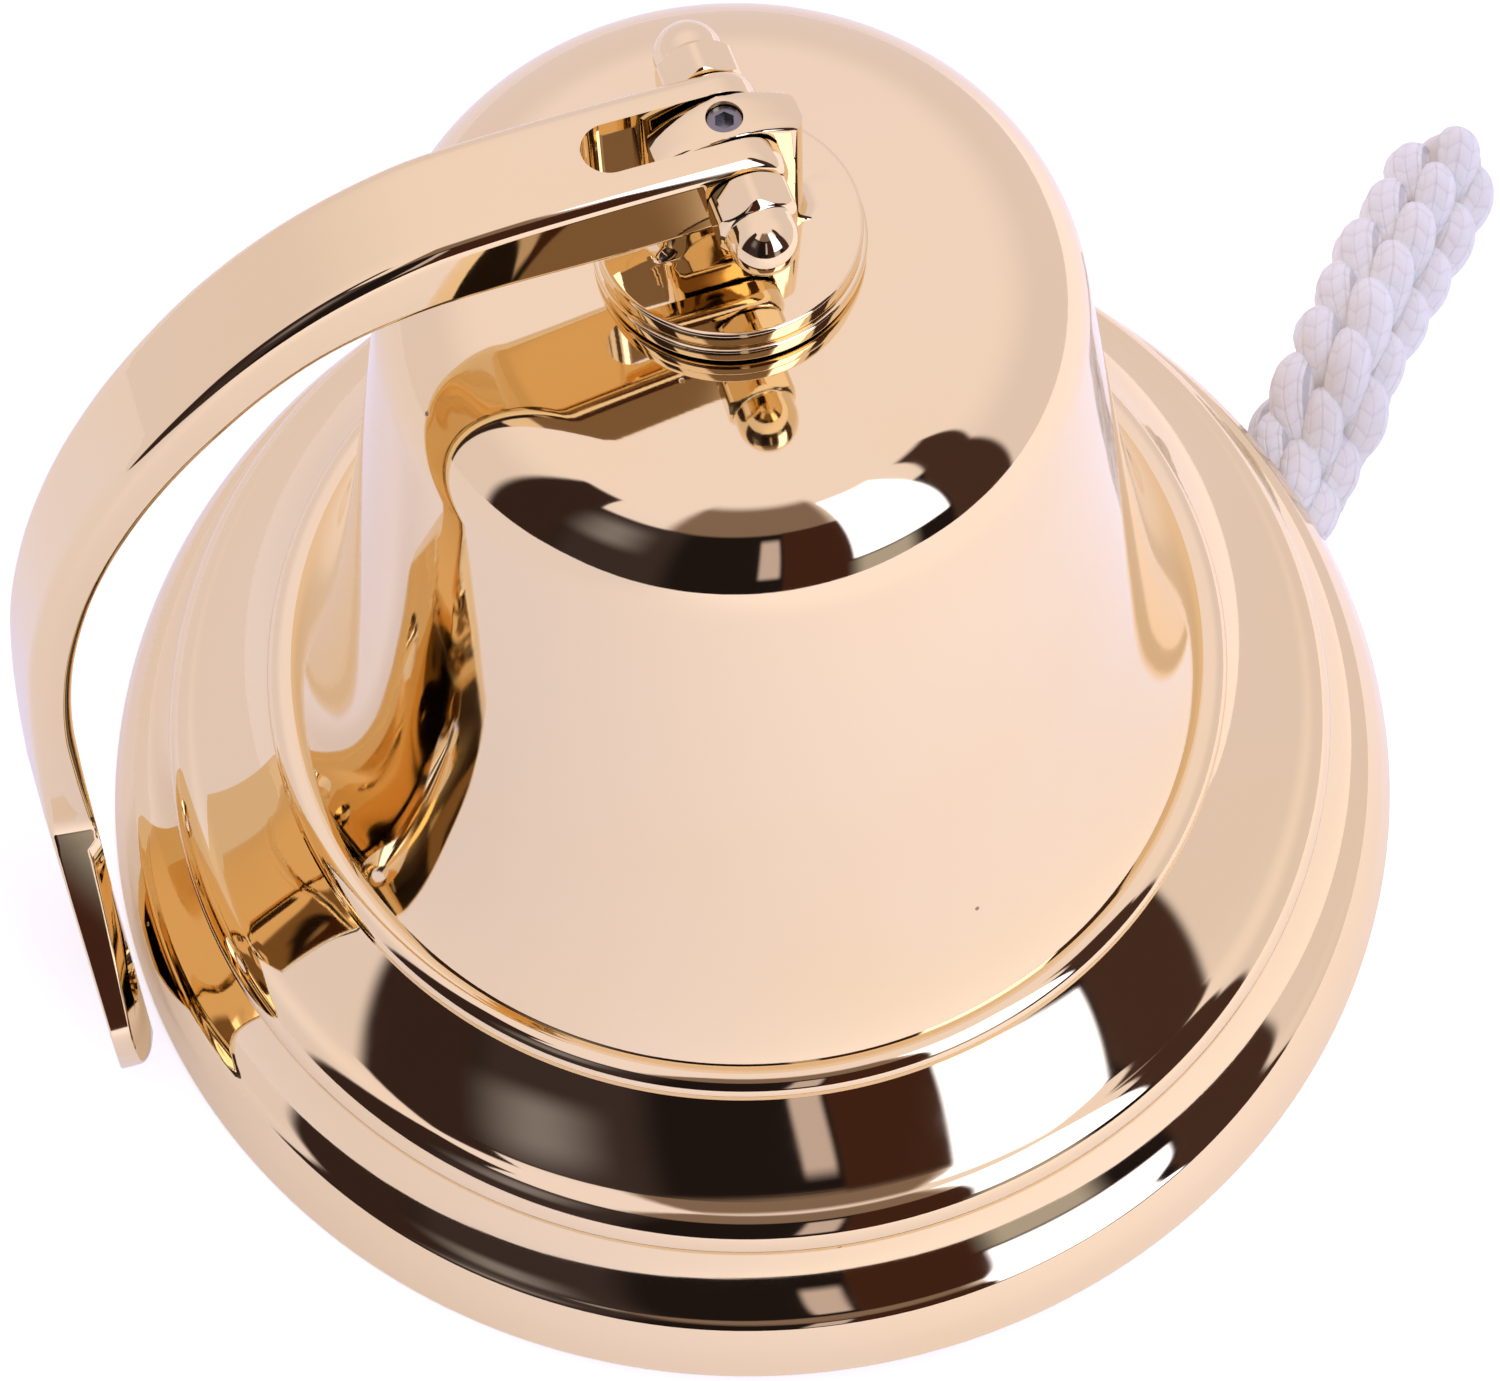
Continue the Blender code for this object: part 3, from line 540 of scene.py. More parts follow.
def braid_tree():
    """Plump strands that surface in staggered rows and dive again, bent along the route curve."""
    tree = bpy.data.node_groups.new("braid", "GeometryNodeTree")
    face = tree.interface
    face.new_socket("Geometry", in_out="OUTPUT", socket_type="NodeSocketGeometry")
    face.new_socket("Route", in_out="INPUT", socket_type="NodeSocketGeometry")
    for name in ("Length", "Pitch", "Rope radius", "Columns"):
        face.new_socket(name, in_out="INPUT", socket_type="NodeSocketFloat")
    face.new_socket("Finish", in_out="INPUT", socket_type="NodeSocketMaterial")
    net = Net(tree)
    route, length, pitch, radius, columns, finish = (
        net.node("NodeGroupInput", {}, {}, out=i) for i in range(6)
    )
    # one strand: a short bar along X that leans, dives at its tail and ends plump, with its sheath pattern
    half = pitch * 0.74
    line = net.node(
        "GeometryNodeCurveQuadraticBezier", {},
        {"Resolution": 16, "Start": net.joined(half * -1.15, half * -0.42, radius * 0.26),
         "Middle": net.joined(half * 0.30, half * 0.10, radius * 1.12),
         "End": net.joined(half * 0.86, half * 0.30, radius * 0.40)},
    )
    factor = net.node("GeometryNodeSplineParameter")
    swell = net.unary("SINE", (factor * 0.94 + 0.03) * math.pi) ** 0.40 * (factor * 0.22 + 0.86)
    line = net.node(
        "GeometryNodeStoreNamedAttribute", {"data_type": "FLOAT", "domain": "POINT"},
        {"Geometry": line, "Name": "along", "Value": factor * 7.0},
    )
    ring = net.node("GeometryNodeCurvePrimitiveCircle", {"mode": "RADIUS"}, {"Resolution": 16, "Radius": 1.0})
    ring = net.node(
        "GeometryNodeStoreNamedAttribute", {"data_type": "FLOAT", "domain": "POINT"},
        {"Geometry": ring, "Name": "around", "Value": net.node("GeometryNodeSplineParameter")},
    )
    strand = net.node(
        "GeometryNodeCurveToMesh", {},
        {"Curve": line, "Profile Curve": ring, "Scale": radius * 0.372 * swell, "Fill Caps": True},
    )
    # rows of strands round the axis, every other column half a pitch further on
    rows = net.unary("FLOOR", length / pitch)
    count = net.node("FunctionNodeFloatToInt", {}, {0: rows * columns})
    index = net.node("GeometryNodeInputIndex")
    column = index % columns
    row = net.unary("FLOOR", index / columns)
    start = (row + 0.5 * (column % 2.0) + 0.35) * pitch
    wobble, shift, grown = (
        net.node(
            "FunctionNodeRandomValue", {"data_type": "FLOAT"},
            {2: low, 3: high, "ID": index, "Seed": seed}, out=1,
        )
        for low, high, seed in ((-1.0, 1.0, 4), (-1.0, 1.0, 9), (0.94, 1.06, 2))
    )
    points = net.node(
        "GeometryNodePoints", {},
        {"Count": count, "Position": net.joined(start + shift * (pitch * 0.05), 0.0, 0.0)},
    )
    spin = column * (1.0 / 6.0) * math.tau + wobble * 0.05 + 0.2
    lines = net.node(
        "GeometryNodeInstanceOnPoints", {},
        {"Points": points, "Instance": strand, "Rotation": net.joined(spin, 0.0, 0.0),
         "Scale": net.joined(grown, grown, grown)},
    )
    lines = net.node("GeometryNodeRealizeInstances", {}, {0: lines})
    core_line = net.node(
        "GeometryNodeCurvePrimitiveLine", {}, {"Start": (0.0, 0.0, 0.0), "End": net.joined(length, 0.0, 0.0)}
    )
    core_line = net.node("GeometryNodeResampleCurve", {}, {"Curve": core_line, "Count": 60})
    core_ring = net.node(
        "GeometryNodeCurvePrimitiveCircle", {"mode": "RADIUS"}, {"Resolution": 16, "Radius": radius * 0.62}
    )
    core = net.node(
        "GeometryNodeCurveToMesh", {}, {"Curve": core_line, "Profile Curve": core_ring, "Fill Caps": True}
    )
    bundle = net.node("GeometryNodeJoinGeometry")
    for piece in (core, lines):
        tree.links.new(piece.socket, bundle.socket.node.inputs[0])
    # close both ends, then lay the bundle along the route
    x, y, z = net.axes(net.node("GeometryNodeInputPosition"))
    reach = net.unary("SQRT", y * y + z * z)
    depth = reach / radius
    left = net.unary("MINIMUM", x, length - x)
    close = net.unary("SQRT", net.step(left, -0.004, 0.0085))
    sampled = [
        net.node(
            "GeometryNodeSampleCurve", {"mode": "LENGTH", "data_type": "FLOAT"},
            {"Curves": route, "Value": net.node("GeometryNodeInputRadius"), "Length": x}, out=out,
        )
        for out in ("Value", "Position", "Tangent", "Normal")
    ]
    pressed, place, tangent, normal = sampled
    over = net.vector("CROSS_PRODUCT", tangent, normal)
    lift = net.node(
        "ShaderNodeVectorMath", {"operation": "SCALE"},
        {0: over, "Scale": net.unary("MINIMUM", z, radius) * close * pressed / radius},
    )
    across = net.node("ShaderNodeVectorMath", {"operation": "SCALE"}, {0: normal, "Scale": y * close})
    ends = net.node(
        "ShaderNodeVectorMath", {"operation": "SCALE"},
        {0: tangent, "Scale": net.unary("MINIMUM", x, 0.0) + net.unary("MAXIMUM", x - length, 0.0)},
    )
    # the third value is the depth into the rope, which the cotton finish turns into painted shade
    weave = net.joined(
        net.node("GeometryNodeInputNamedAttribute", {"data_type": "FLOAT"}, {"Name": "along"}),
        net.node("GeometryNodeInputNamedAttribute", {"data_type": "FLOAT"}, {"Name": "around"}),
        depth,
    )
    marked = net.node(
        "GeometryNodeStoreNamedAttribute", {"data_type": "FLOAT_VECTOR", "domain": "POINT"},
        {"Geometry": bundle, "Name": "weave", "Value": weave},
    )
    spot = net.vector("ADD", net.vector("ADD", place, ends), net.vector("ADD", lift, across))
    laid = net.node("GeometryNodeSetPosition", {}, {"Geometry": marked, "Position": spot})
    laid = net.node("GeometryNodeSetShadeSmooth", {}, {"Geometry": laid, "Shade Smooth": True})
    laid = net.node("GeometryNodeRealizeInstances", {}, {0: laid})
    laid = net.node("GeometryNodeSetMaterial", {}, {"Geometry": laid, "Material": finish})
    net.node("NodeGroupOutput", {}, {0: laid})
    return tree


def grown(piece, tree, values):
    """Runs a geometry tree on an object and returns its result as a plain mesh object."""
    step = piece.modifiers.new("grow", "NODES")
    step.node_group = tree
    for item in tree.interface.items_tree:
        if item.item_type == "SOCKET" and item.in_out == "INPUT" and item.name in values:
            step[item.identifier] = values[item.name]
    bpy.context.view_layer.update()
    graph = bpy.context.evaluated_depsgraph_get()
    mesh = bpy.data.meshes.new_from_object(piece.evaluated_get(graph))
    name = piece.name
    bpy.data.objects.remove(piece, do_unlink=True)
    return new_object(name, mesh)


rope = grown(
    route_object("rope_braid", rope_line, rope_radii), braid_tree(),
    {"Length": rope_length, "Pitch": BRAID_PITCH, "Rope radius": ROPE_RADIUS,
     "Columns": float(BRAID_COLUMNS), "Finish": cotton_finish},
)
rope.data.materials.clear()
rope.data.materials.append(cotton_finish)
stands_for(rope, "lanyard", "bell_body")

# the loop of small cord that ties the rope to the shackle
LEG_HEIGHTS = (0.0195, 0.0095)          # of the two legs where they leave the rope
LEG_REACHES = (ROPE_START - 0.0020, ROPE_START - 0.0060, 0.024, 0.011)
SHACKLE_WRAP = math.hypot(0.0020, 0.0030) + GAP + LOOP_CORD_RADIUS
hang = home @ Matrix.Translation(lean @ (UP * CLAPPER_PIVOT) - UP * CLAPPER_PIVOT)
tail_eye = CLAPPER_PIVOT - CLAPPER_LENGTH - BALL_RADIUS - 0.0088
bow_bottom = (lean @ (UP * CLAPPER_PIVOT)).z - CLAPPER_PIVOT + tail_eye - SHACKLE_REACH
round_bow = [
    (-SHACKLE_WRAP * math.sin(a), bow_bottom + SHACKLE_WRAP * math.cos(a))
    for a in [math.pi * i / 5 for i in range(6)]
]
legs = []
for at_rope, at_bow, shares in (
    (LEG_HEIGHTS[0], bow_bottom + 0.94 * SHACKLE_WRAP, (0.0, 0.0, 0.35, 1.0)),
    (LEG_HEIGHTS[1], bow_bottom - SHACKLE_WRAP, (0.0, 0.0, 0.07, 0.61)),
):
    legs.append([(reach, at_rope + (at_bow - at_rope) * share) for reach, share in zip(LEG_REACHES, shares)])
loop_line = [home @ point for point in smooth(
    [along_side(reach, height) for reach, height in legs[0] + round_bow + legs[1][::-1]], 6
)]


def small_cord(name, points, radius, sides):
    """A round sheathed cord in one upright plane; each corner keeps its place along and round it."""
    mesh = bpy.data.meshes.new(name)
    corners, weave, reach = [], [], 0.0
    for i, point in enumerate(points):
        before, after = points[max(i - 1, 0)], points[min(i + 1, len(points) - 1)]
        reach += (point - before).length
        outward = (after - before).normalized().cross(SWING_AXIS)
        for k in range(sides):
            turn = math.tau * k / sides
            corners.append(point + (SWING_AXIS * math.cos(turn) + outward * math.sin(turn)) * radius)
            weave.append((reach / 0.0020, k / sides, 1.0))
    rings = len(points)
    faces = [
        (i * sides + k, i * sides + (k + 1) % sides, (i + 1) * sides + (k + 1) % sides, (i + 1) * sides + k)
        for i in range(rings - 1) for k in range(sides)
    ]
    faces += [tuple(range(sides))[::-1], tuple((rings - 1) * sides + k for k in range(sides))]
    mesh.from_pydata(corners, [], faces)
    bm = bmesh.new()
    bm.from_mesh(mesh)
    bmesh.ops.recalc_face_normals(bm, faces=bm.faces)
    bm.to_mesh(mesh)
    bm.free()
    pattern = mesh.attributes.new("weave", "FLOAT_VECTOR", "POINT")
    pattern.data.foreach_set("vector", [value for corner in weave for value in corner])
    mesh.shade_smooth()
    mesh.set_sharp_from_angle(angle=math.radians(50))
    mesh.materials.append(cotton_finish)
    return new_object(name, mesh)


loop_cord = small_cord("loop_cord", loop_line, LOOP_CORD_RADIUS, 20)
stands_for(loop_cord, "lanyard_loop", "bell_body")

# --- bell casting -------------------------------------------------------------------------------
# Outlines below are in mouth radii.
def bell_profile():
    """Closed outline of the casting, running down the outside and up the inside."""
    shoulder = arc((0.297, 1.270), 0.152, math.radians(90), math.radians(10), 32)
    waist = bezier([shoulder[-1], (0.499, 1.000), (0.561, 0.568), (0.670, 0.400)], 48)
    upper_bead = bead((0.670, 0.400), (0.7065, 0.3635), 0.017, 12)
    upper_cove = bezier([(0.7065, 0.3635), (0.7539, 0.3070), (0.833, 0.265)], 16)
    lower_bead = bead((0.833, 0.265), (0.869, 0.180), 0.026, 16)
    lower_cove = bezier([(0.869, 0.180), (0.9165, 0.1068), (0.944, 0.094)], 16)
    lip = eased(
        [(0.944, 0.094), (0.953, 0.0895), (0.979, 0.048), (0.9985, 0.006), (0.995, 0.0), (0.962, 0.0),
         (0.956, 0.006)], 0.006, 4,
    )[1:-1]
    outside = scaled([(STUD_HOLE / R, CROWN_TOP / R)] + shoulder + waist + upper_bead + upper_cove)
    outside += scaled(lower_bead + lower_cove + lip)
    inner_body = [p for p in offset(scaled(shoulder + waist), WALL) if p[1] < CROWN_UNDER - 0.0005]
    bow = smooth([(0.956, 0.006), (0.925, 0.060), (0.880, 0.120), (0.800, 0.220), (0.715, 0.310)], 4)
    inside = scaled([tuple(p) for p in bow]) + inner_body[::-1]
    return outside + inside + [(0.26 * R, CROWN_UNDER), (STUD_HOLE, CROWN_UNDER)]


bell = settle(turned("bell_casting", bell_profile(), bell_frame, steps=240), mirror_brass, sharp=24.0)
stands_for(bell, "bell", "bell_body")

# --- crown hardware -----------------------------------------------------------------------------
WASHER_RADIUS = 0.0234
WASHER_THICKNESS = 0.0030
FLANGE_RADIUS = 0.0227
FLANGE_THICKNESS = 0.0036
FLANGE_BOTTOM = CROWN_TOP + GAP + WASHER_THICKNESS + GAP
FLANGE_TOP = FLANGE_BOTTOM + FLANGE_THICKNESS
LUG_HALF_LENGTH = 0.0126
LUG_HALF_WIDTH = 0.0042
LUG_TOP = PIN_HEIGHT + 0.0082
LUG_ARCH = 0.0035
LUG_FILLET = 0.0030
LUG_EDGE_ROUND = 0.0028
FORK_HALF_WIDTH = 0.0102
NUT_ACROSS_FLATS = 0.0130
NUT_HEX_HEIGHT = 0.0065
NUT_LENGTH = 0.0145
SET_SCREW_RADIUS = 0.0030


def ring_profile(outer, inner, low, high, edge):
    corners = [(inner, high), (outer, high), (outer, low), (inner, low)]
    return eased(corners, edge, 5)


disc_low = CROWN_TOP + GAP
disc = turned(
    "crown_disc", ring_profile(WASHER_RADIUS, STUD_HOLE, disc_low, disc_low + WASHER_THICKNESS, 0.0007),
    bell_frame, steps=144,
)
stands_for(settle(disc, hardware_brass), "crown_washer", "bell_body")

pin_place = bell_frame @ frame_matrix(S, UP, T * -1.0, UP * PIN_HEIGHT)
arch_radius = (LUG_HALF_LENGTH**2 + LUG_ARCH**2) / (2 * LUG_ARCH)
arch_angle = math.asin(LUG_HALF_LENGTH / arch_radius)
arch = arc((0.0, LUG_TOP - arch_radius), arch_radius, math.pi / 2 - arch_angle, math.pi / 2 + arch_angle, 24)
foot = arc((LUG_HALF_LENGTH + LUG_FILLET, FLANGE_TOP + LUG_FILLET), LUG_FILLET, -math.pi / 2, -math.pi, 8)
foot_low = FLANGE_TOP - 0.5 * FLANGE_THICKNESS
lug_steps = [(LUG_HALF_LENGTH + LUG_FILLET, foot_low)] + foot + arch[:len(arch) // 2] + [(0.00015, LUG_TOP)]
lug_block = lofted("lug_block", [
    [bell_frame @ (S * a + T * b + UP * z) for a, b in rounded_section(x, LUG_HALF_WIDTH, LUG_EDGE_ROUND)]
    for x, z in lug_steps
])
hanger = turned(
    "crown_hanger",
    eased(
        [(0.0, FLANGE_TOP), (FLANGE_RADIUS, FLANGE_TOP), (FLANGE_RADIUS, FLANGE_BOTTOM),
         (0.0, FLANGE_BOTTOM)], 0.0008, 5,
    ),
    bell_frame, steps=144, closed=False,
)
combine(hanger, lug_block, "UNION")
combine(hanger, round_bar("lug_bore", PIN_RADIUS + PIN_CLEARANCE, 0.020, pin_place), "DIFFERENCE")
screw_way_half = (LUG_TOP - PIN_HEIGHT) / 2 + 0.001
screw_way = bell_frame @ Matrix.Translation(UP * (PIN_HEIGHT + screw_way_half))
screw_way_bar = round_bar("screw_way", SET_SCREW_RADIUS + PIN_CLEARANCE, screw_way_half, screw_way, 48)
combine(hanger, screw_way_bar, "DIFFERENCE")
stands_for(settle(hanger, hardware_brass), "hanger_lug", "bell_body")

screw_low = PIN_HEIGHT + PIN_RADIUS + 0.0002
screw_high = screw_low + 0.0030
screw = turned(
    "socket_screw",
    eased(
        [(0.0, screw_high), (SET_SCREW_RADIUS, screw_high), (SET_SCREW_RADIUS, screw_low),
         (0.0, screw_low)], 0.0004, 3,
    ),
    bell_frame, steps=48, closed=False,
)
socket_place = bell_frame @ Matrix.Translation(UP * screw_high)
combine(screw, prism("screw_socket", hexagon(0.0030), 0.0018, socket_place), "DIFFERENCE")
stands_for(settle(screw, dull_steel), "lug_set_screw", "bell_body")


def cap_nut(name, node, direction):
    """A domed cap nut: a chamfered hexagon, a round neck and a polished dome."""
    side = UP.cross(direction)
    seat = UP * PIN_HEIGHT + direction * (FORK_HALF_WIDTH + GAP)
    place = bell_frame @ frame_matrix(side, UP, direction, seat)
    dome = 0.45 * NUT_ACROSS_FLATS
    skirt = NUT_ACROSS_FLATS / math.sqrt(3)
    body = arc((0.0, NUT_LENGTH - dome), dome, math.radians(90), 0.0, 20)
    body += eased(
        [(dome, NUT_LENGTH - dome), (dome, NUT_HEX_HEIGHT + 0.0004), (0.5 * NUT_ACROSS_FLATS, NUT_HEX_HEIGHT),
         (skirt, NUT_HEX_HEIGHT - 0.0011), (skirt, 0.0009), (0.5 * NUT_ACROSS_FLATS, 0.0), (0.0, 0.0)],
        0.0004, 3,
    )[1:]
    nut = turned(name, body, place, steps=96, closed=False)
    flats = eased(hexagon(NUT_ACROSS_FLATS), 0.0012, 5, ends=True)
    combine(nut, prism(name + "_flats", flats, NUT_LENGTH * 1.2, place), "INTERSECT")
    combine(nut, round_bar(name + "_bore", PIN_RADIUS + PIN_CLEARANCE, 0.0110, place), "DIFFERENCE")
    rounded(nut, 0.0005, 3, 28.0)
    settle(nut, hardware_brass, weighted=True)
    stands_for(nut, node, "bell_body")


cap_nut("cap_nut_near", "acorn_nut_near", T)
cap_nut("cap_nut_far", "acorn_nut_far", T * -1.0)

# --- clapper ball -------------------------------------------------------------------------------
ball_bore = 0.0050
ball_middle = CLAPPER_PIVOT - CLAPPER_LENGTH
boss = math.acos(ball_bore * 1.35 / BALL_RADIUS)
ball_face = BALL_RADIUS * math.sin(boss) * 1.03
ball = [(ball_bore, ball_middle + ball_face), (ball_bore * 1.3, ball_middle + ball_face)]
ball += arc((0.0, ball_middle), BALL_RADIUS, boss, -boss, 48)
ball += [(ball_bore * 1.3, ball_middle - ball_face), (ball_bore, ball_middle - ball_face)]
striker = turned("striker_ball", ball, hang, steps=96)
stands_for(settle(striker, turned_brass), "clapper_ball", "clapper_body")

# --- wall bracket -------------------------------------------------------------------------------
NECK_HALF_WIDTH = 0.0090
PLATE_HALF_WIDTH = 0.0385
SLOT_HALF_WIDTH = 0.0048
SLOT_DEPTH = 0.0240
PLATE_CREASE_REACH = 0.985
PLATE_TIP_REACH = 1.023
SCREW_HOLE_RADIUS = 0.0028
SCREW_HEAD_RADIUS = 0.0056

EDGE_ROUND = 0.0026
PLATE_EDGE_ROUND = 0.0008

outer_line = smooth([
    (0.000, 1.6950), (0.150, 1.7000), (0.300, 1.7000), (0.400, 1.6880), (0.520, 1.6440), (0.633, 1.5700),
    (0.742, 1.4640), (0.821, 1.3620), (0.880, 1.2620), (0.930, 1.1500), (0.968, 1.0300), (0.994, 0.9000),
    (1.014, 0.7600), (1.030, 0.6200),
], 8)
inner_line = smooth([
    (0.000, 1.5800), (0.150, 1.5800), (0.300, 1.5860), (0.400, 1.5820), (0.500, 1.5560), (0.585, 1.5080),
    (0.665, 1.4400), (0.735, 1.3640), (0.795, 1.2800), (0.850, 1.1800), (0.890, 1.0800), (0.920, 0.9800),
    (0.943, 0.8600), (0.957, 0.7200), (0.966, 0.6000),
], 8)
nose_centre = 1.6375
nose_reach = 0.0575
plate_foot = 0.034
back_slope = math.tan(LEAN) * math.cos(ROPE_BEARING - BRACKET_YAW)
plate_w = PLATE_HALF_WIDTH / R
neck_w = NECK_HALF_WIDTH / R
fork_w = FORK_HALF_WIDTH / R
leaf = smooth([
    (plate_w, 0.262), (0.96 * plate_w, 0.190), (0.74 * plate_w, 0.100), (0.42 * plate_w, 0.050),
    (0.20 * plate_w, plate_foot),
], 6)
half_front = [(fork_w, 1.80), (fork_w, 1.50), (neck_w, 1.10), (neck_w, 0.600), (0.97 * plate_w, 0.300)]
half_front += [tuple(p) for p in leaf]


def spaced(points, count):
    """The same line with its points evenly spaced."""
    points = [Vector(p) for p in points]
    reach = [0.0]
    for a, b in zip(points, points[1:]):
        reach.append(reach[-1] + (b - a).length)
    out, k = [], 0
    for i in range(count + 1):
        goal = reach[-1] * i / count
        while k < len(points) - 2 and reach[k + 1] < goal:
            k += 1
        out.append(points[k].lerp(points[k + 1], (goal - reach[k]) / (reach[k + 1] - reach[k])))
    return out


def half_width(height):
    """Half the bracket's width at a height, both in mouth radii."""
    for (wide, top), (narrow, low) in zip(half_front, half_front[1:]):
        if height >= low:
            return wide + (narrow - wide) * (top - height) / (top - low)
    return half_front[-1][0]


stations = []
for i in range(1, 15):                                 # the round nose of the fork
    angle = math.radians(90) * i / 15
    nose = Vector((-nose_reach * math.cos(angle), 0.0))
    from_tip = nose_reach * (1 - math.cos(angle)) * R / EDGE_ROUND
    trim = EDGE_ROUND / R * (1 - math.sqrt(max(1 - (1 - min(from_tip, 1.0)) ** 2, 0.0)))
    rise = Vector((0.0, nose_reach * math.sin(angle)))
    centre = Vector((0.0, nose_centre)) + nose
    stations.append((centre + rise, centre - rise, fork_w - trim))
for outer, inner in zip(spaced(outer_line, 90), spaced(inner_line, 90)):
    stations.append((outer, inner, half_width((outer.y + inner.y) / 2)))
for i in range(1, 49):                                 # the plate, down to its foot
    share = i / 48
    outer = Vector((1.030 + share * (0.620 - plate_foot) * back_slope, 0.620 + (plate_foot - 0.620) * share))
    height = 0.600 + (plate_foot - 0.600) * share
    if height > 0.300:
        inner = Vector((0.966 + 0.024 * (0.600 - height) / 0.300, height))
    else:
        inner = Vector((0.990 + 0.0145 * (0.300 - height) / (0.300 - plate_foot), height))
    stations.append((outer, inner, half_width((outer.y + height) / 2)))

crease_side = fork_w * 1.2
sections = []
for outer, inner, wide in stations:
    thick = (outer - inner).length / 2
    section = []
    up_the_arm = min(max((outer.y - 0.50) / 0.35, 0.0), 1.0)
    edge = PLATE_EDGE_ROUND + (EDGE_ROUND - PLATE_EDGE_ROUND) * up_the_arm
    for across, through in rounded_section(wide, thick, edge / R):
        wing = max(abs(across) - crease_side, 0.0) / (1.05 * plate_w - crease_side)
        shy = PLATE_CREASE_REACH + (PLATE_TIP_REACH - PLATE_CREASE_REACH) * wing - inner.x
        face = inner + (outer - inner).normalized() * (shy if wing > 0 and shy > 0 else 0.0)
        spot = face.lerp(outer, (through + thick) / (2 * thick))
        section.append(bell_frame @ ((S * spot.x + T * across + UP * spot.y) * R))
    sections.append(section)


def in_bell(x, y, z, origin):
    return bell_frame @ frame_matrix(x, y, z, origin)


bracket = lofted("bracket_arm", sections)
slot = arc((SLOT_DEPTH - SLOT_HALF_WIDTH, 0.0), SLOT_HALF_WIDTH, -math.pi / 2, math.pi / 2, 32)
slot += [(-0.020, SLOT_HALF_WIDTH), (-0.020, -SLOT_HALF_WIDTH)]
fork_slot = prism("fork_slot", slot, 0.020, in_bell(S, T, S.cross(T), UP * PIN_HEIGHT))
combine(bracket, fork_slot, "DIFFERENCE")
combine(bracket, round_bar("fork_bore", PIN_RADIUS + PIN_CLEARANCE, 0.020, pin_place), "DIFFERENCE")
screw_side = 0.55 * PLATE_HALF_WIDTH
fork_side = 1.2 * FORK_HALF_WIDTH
inner_face = 0.9905 * R + (PLATE_TIP_REACH - PLATE_CREASE_REACH) * R * (
    (screw_side - fork_side) / (1.05 * PLATE_HALF_WIDTH - fork_side)
)
for side, name in ((1, "near"), (-1, "far")):
    centre = T * side * screw_side + UP * 0.250 * R
    way = in_bell(T, UP, T.cross(UP), centre + S * R)
    combine(bracket, round_bar("screw_way_" + name, SCREW_HOLE_RADIUS, 0.030, way, 40), "DIFFERENCE")
    sink = bpy.data.meshes.new("countersink_" + name)
    bm = bmesh.new()
    middle = inner_face + 0.5 * (SCREW_HEAD_RADIUS - SCREW_HOLE_RADIUS - 0.0035)
    bmesh.ops.create_cone(
        bm, segments=48, radius1=SCREW_HEAD_RADIUS + 0.004, radius2=SCREW_HOLE_RADIUS - 0.0005,
        depth=SCREW_HEAD_RADIUS + 0.0045 - SCREW_HOLE_RADIUS, cap_ends=True,
        matrix=in_bell(T, UP, S, centre + S * middle),
    )
    bm.to_mesh(sink)
    bm.free()
    combine(bracket, new_object("countersink_" + name, sink), "DIFFERENCE")
rounded(bracket, 0.0005, 3, 35.0)
stands_for(settle(bracket, bracket_brass, weighted=True), "bracket", "bracket_body")

# --- studio -------------------------------------------------------------------------------------
floor = new_object("floor", bpy.data.meshes.new("floor"))
bm = bmesh.new()
bmesh.ops.create_grid(bm, x_segments=1, y_segments=1, size=1.6)
bm.to_mesh(floor.data)
bm.free()
floor_finish = bpy.data.materials.new("pale_floor")
floor_finish.use_nodes = True
net = Net(floor_finish.node_tree)
across, nearer, _ = net.axes(net.node("ShaderNodeTexCoord", {}, {}, out="Object"))
lit = net.step(across - nearer * 0.4, -0.25, 0.45) * 0.26 + 0.16           # painted light: the floor glows, and its glow falls off to the left
seen = net.node("ShaderNodeLightPath", {}, {}, out="Is Camera Ray")
# the floor's glow is painted light, tinted where it lights other things and plain white where the camera sees
# it
shader = net.node(
    "ShaderNodeBsdfPrincipled", {},
    {"Base Color": colour(0.93, 0.93, 0.935), "Roughness": 0.9,
     "Emission Color": net.mix(seen, colour(1.0, 0.92, 1.10), colour(1.0, 1.0, 1.0)),
     "Emission Strength": lit + seen * 0.30},
)
net.node("ShaderNodeOutputMaterial", {}, {0: shader})
floor.data.materials.append(floor_finish)

world = bpy.data.worlds.new("studio")
bpy.context.scene.world = world
world.use_nodes = True
net = Net(world.node_tree)
toward = net.node("ShaderNodeTexCoord", {}, {}, out="Generated")
east, north, height = net.axes(toward)
bearing = net.unary("ARCTAN2", east, north * -1.0) * (180.0 / math.pi)      # 0 looks along -Y
rise = net.unary("ARCSINE", height) * (180.0 / math.pi)


def window(value, low, high, soft):
    """1 between low and high, easing to 0 over soft on both sides."""
    return net.step(value, low - soft, low + soft) * net.step(value, high + soft, high - soft)


def layer(below, mask, red, green, blue):
    """Lays a plain colour over the light so far, where mask is 1."""
    return net.mix(mask, below, colour(red, green, blue))


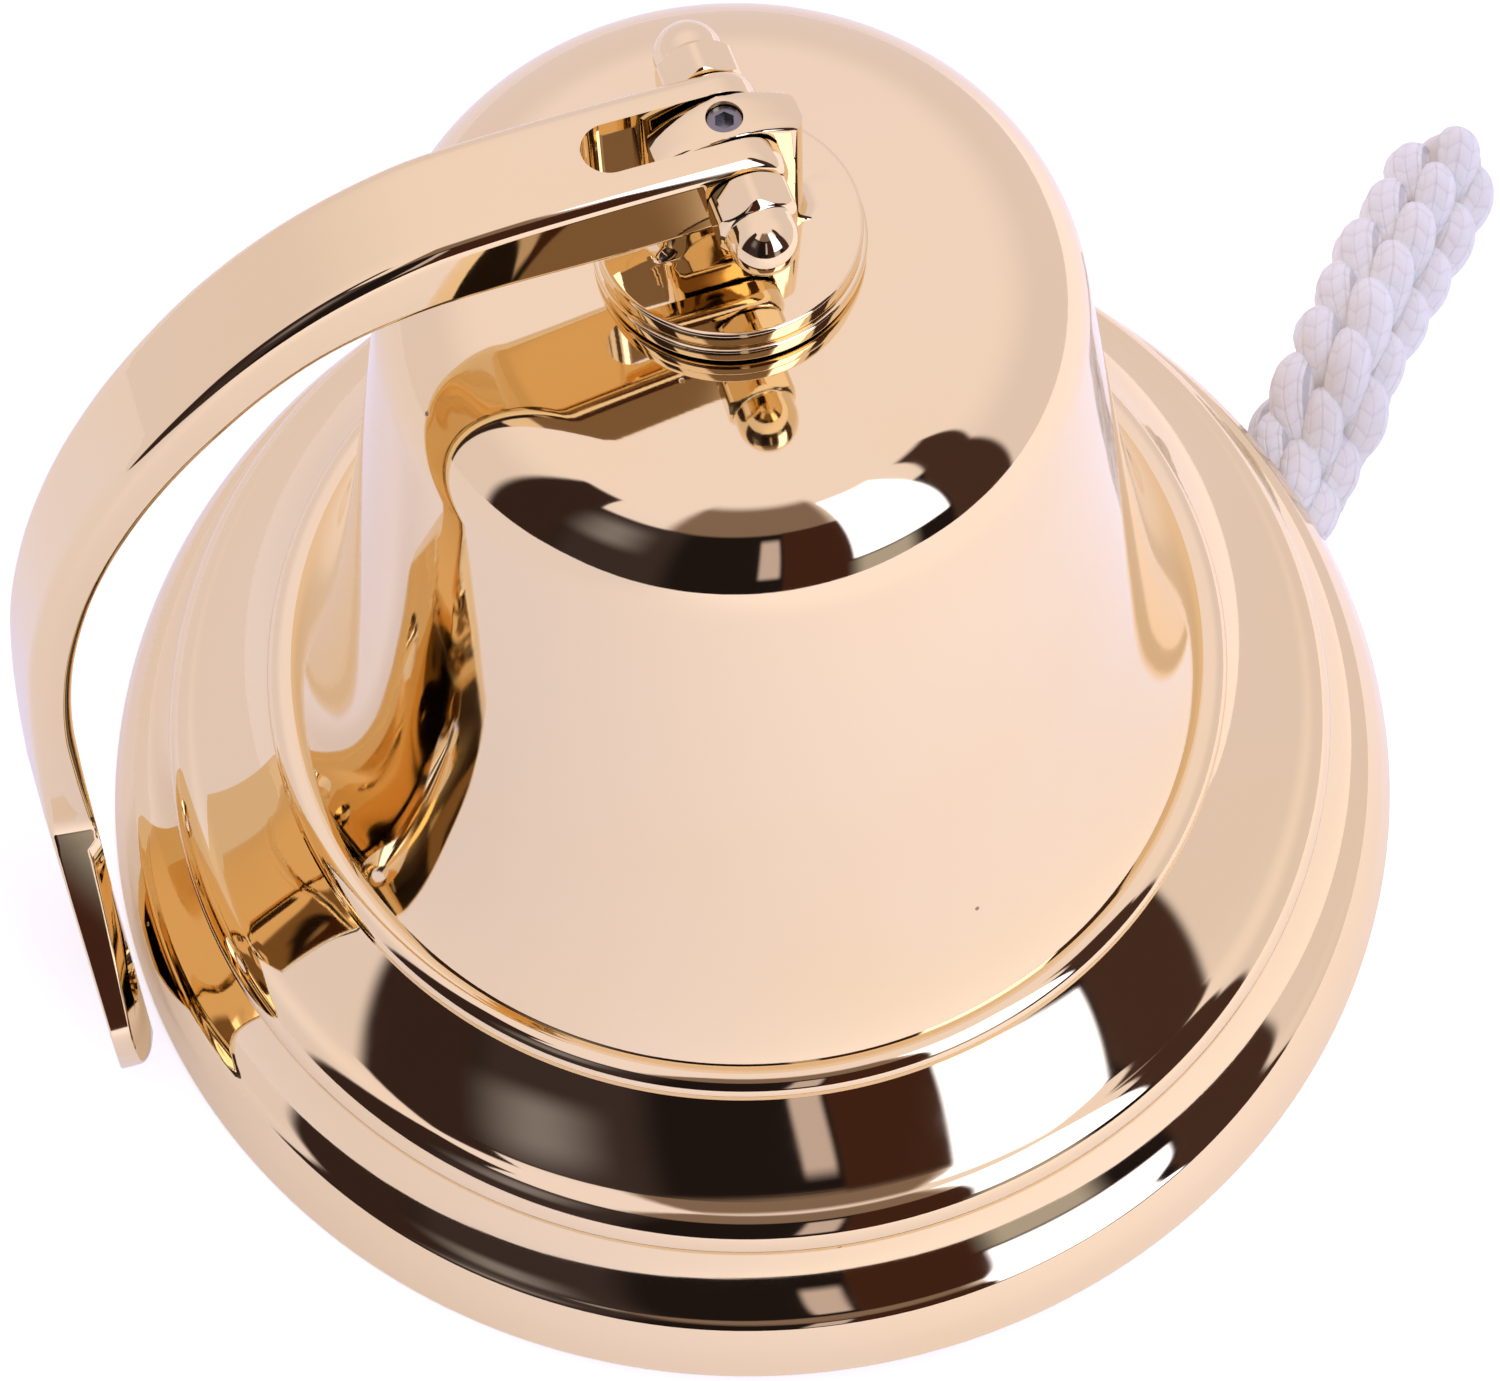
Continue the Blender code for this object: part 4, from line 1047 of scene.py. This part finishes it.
left_wing = window(bearing, -74.0, -51.0, 2.0)
ceiling = left_wing * 12.0 + 48.0
tilted = bearing - net.unary("MAXIMUM", rise - 40.0, 0.0) * 0.5
light = net.mix(net.step(rise, 25.0, 60.0), colour(0.93, 0.94, 1.14), colour(1.09, 1.10, 1.32))
light = layer(light, window(bearing, -27.0, 27.0, 3.0) * window(rise, 40.0, 73.0, 4.0), 0.27, 0.21, 0.19)
room = window(bearing, -69.0, 76.0, 2.0) * net.step(rise, -9.0, -7.0)
room = room * net.step(rise, ceiling + 1.5, ceiling - 1.5)
light = layer(light, room, 0.016, 0.012, 0.014)
light = layer(light, window(bearing, -69.0, -50.0, 3.0) * room, 0.042, 0.026, 0.026)
light = layer(light, window(bearing, -49.0, -21.0, 4.0) * room, 0.050, 0.040, 0.045)
light = layer(light, window(bearing, -46.0, -32.0, 7.0) * window(rise, 22.0, 42.0, 6.0), 0.26, 0.27, 0.34)
light = layer(light, window(bearing, 3.2, 8.6, 0.7) * window(rise, 7.0, 42.0, 3.0), 0.66, 0.62, 0.72)
light = layer(light, window(bearing, 9.6, 28.0, 0.8) * room, 0.060, 0.026, 0.018)
light = layer(light, window(bearing, 28.5, 56.0, 0.8) * window(rise, 9.0, 68.0, 1.2), 2.4, 2.9, 4.4)
light = layer(light, window(bearing, 29.0, 45.0, 3.0) * window(rise, -7.0, 7.5, 1.0), 0.52, 0.55, 0.60)
light = layer(light, window(tilted, 57.0, 76.0, 1.2) * window(rise, -9.0, 67.0, 2.0), 0.070, 0.040, 0.036)
light = net.vector("MULTIPLY", light, (0.92, 0.845, 0.905))
seen = net.node("ShaderNodeLightPath", {}, {}, out="Is Camera Ray")
light = layer(light, seen, 1.0, 1.0, 1.0)
sky = net.node("ShaderNodeBackground", {}, {"Color": light, "Strength": 1.0})
net.node("ShaderNodeOutputWorld", {}, {0: sky})
bpy.context.scene.view_settings.view_transform = "Standard"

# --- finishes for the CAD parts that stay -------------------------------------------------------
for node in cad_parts.values():
    node.data.materials.clear()
    node.data.materials.append(plain_brass)
for finish, names in (
    (hardware_brass, ["pivot_pin"]),
    (turned_brass, ["clapper_rod", "shackle_bow", "shackle_pin"]),
    (wire_steel, ["clapper_split_pin"]),
):
    for name in names:
        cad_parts[name].data.materials[0] = finish
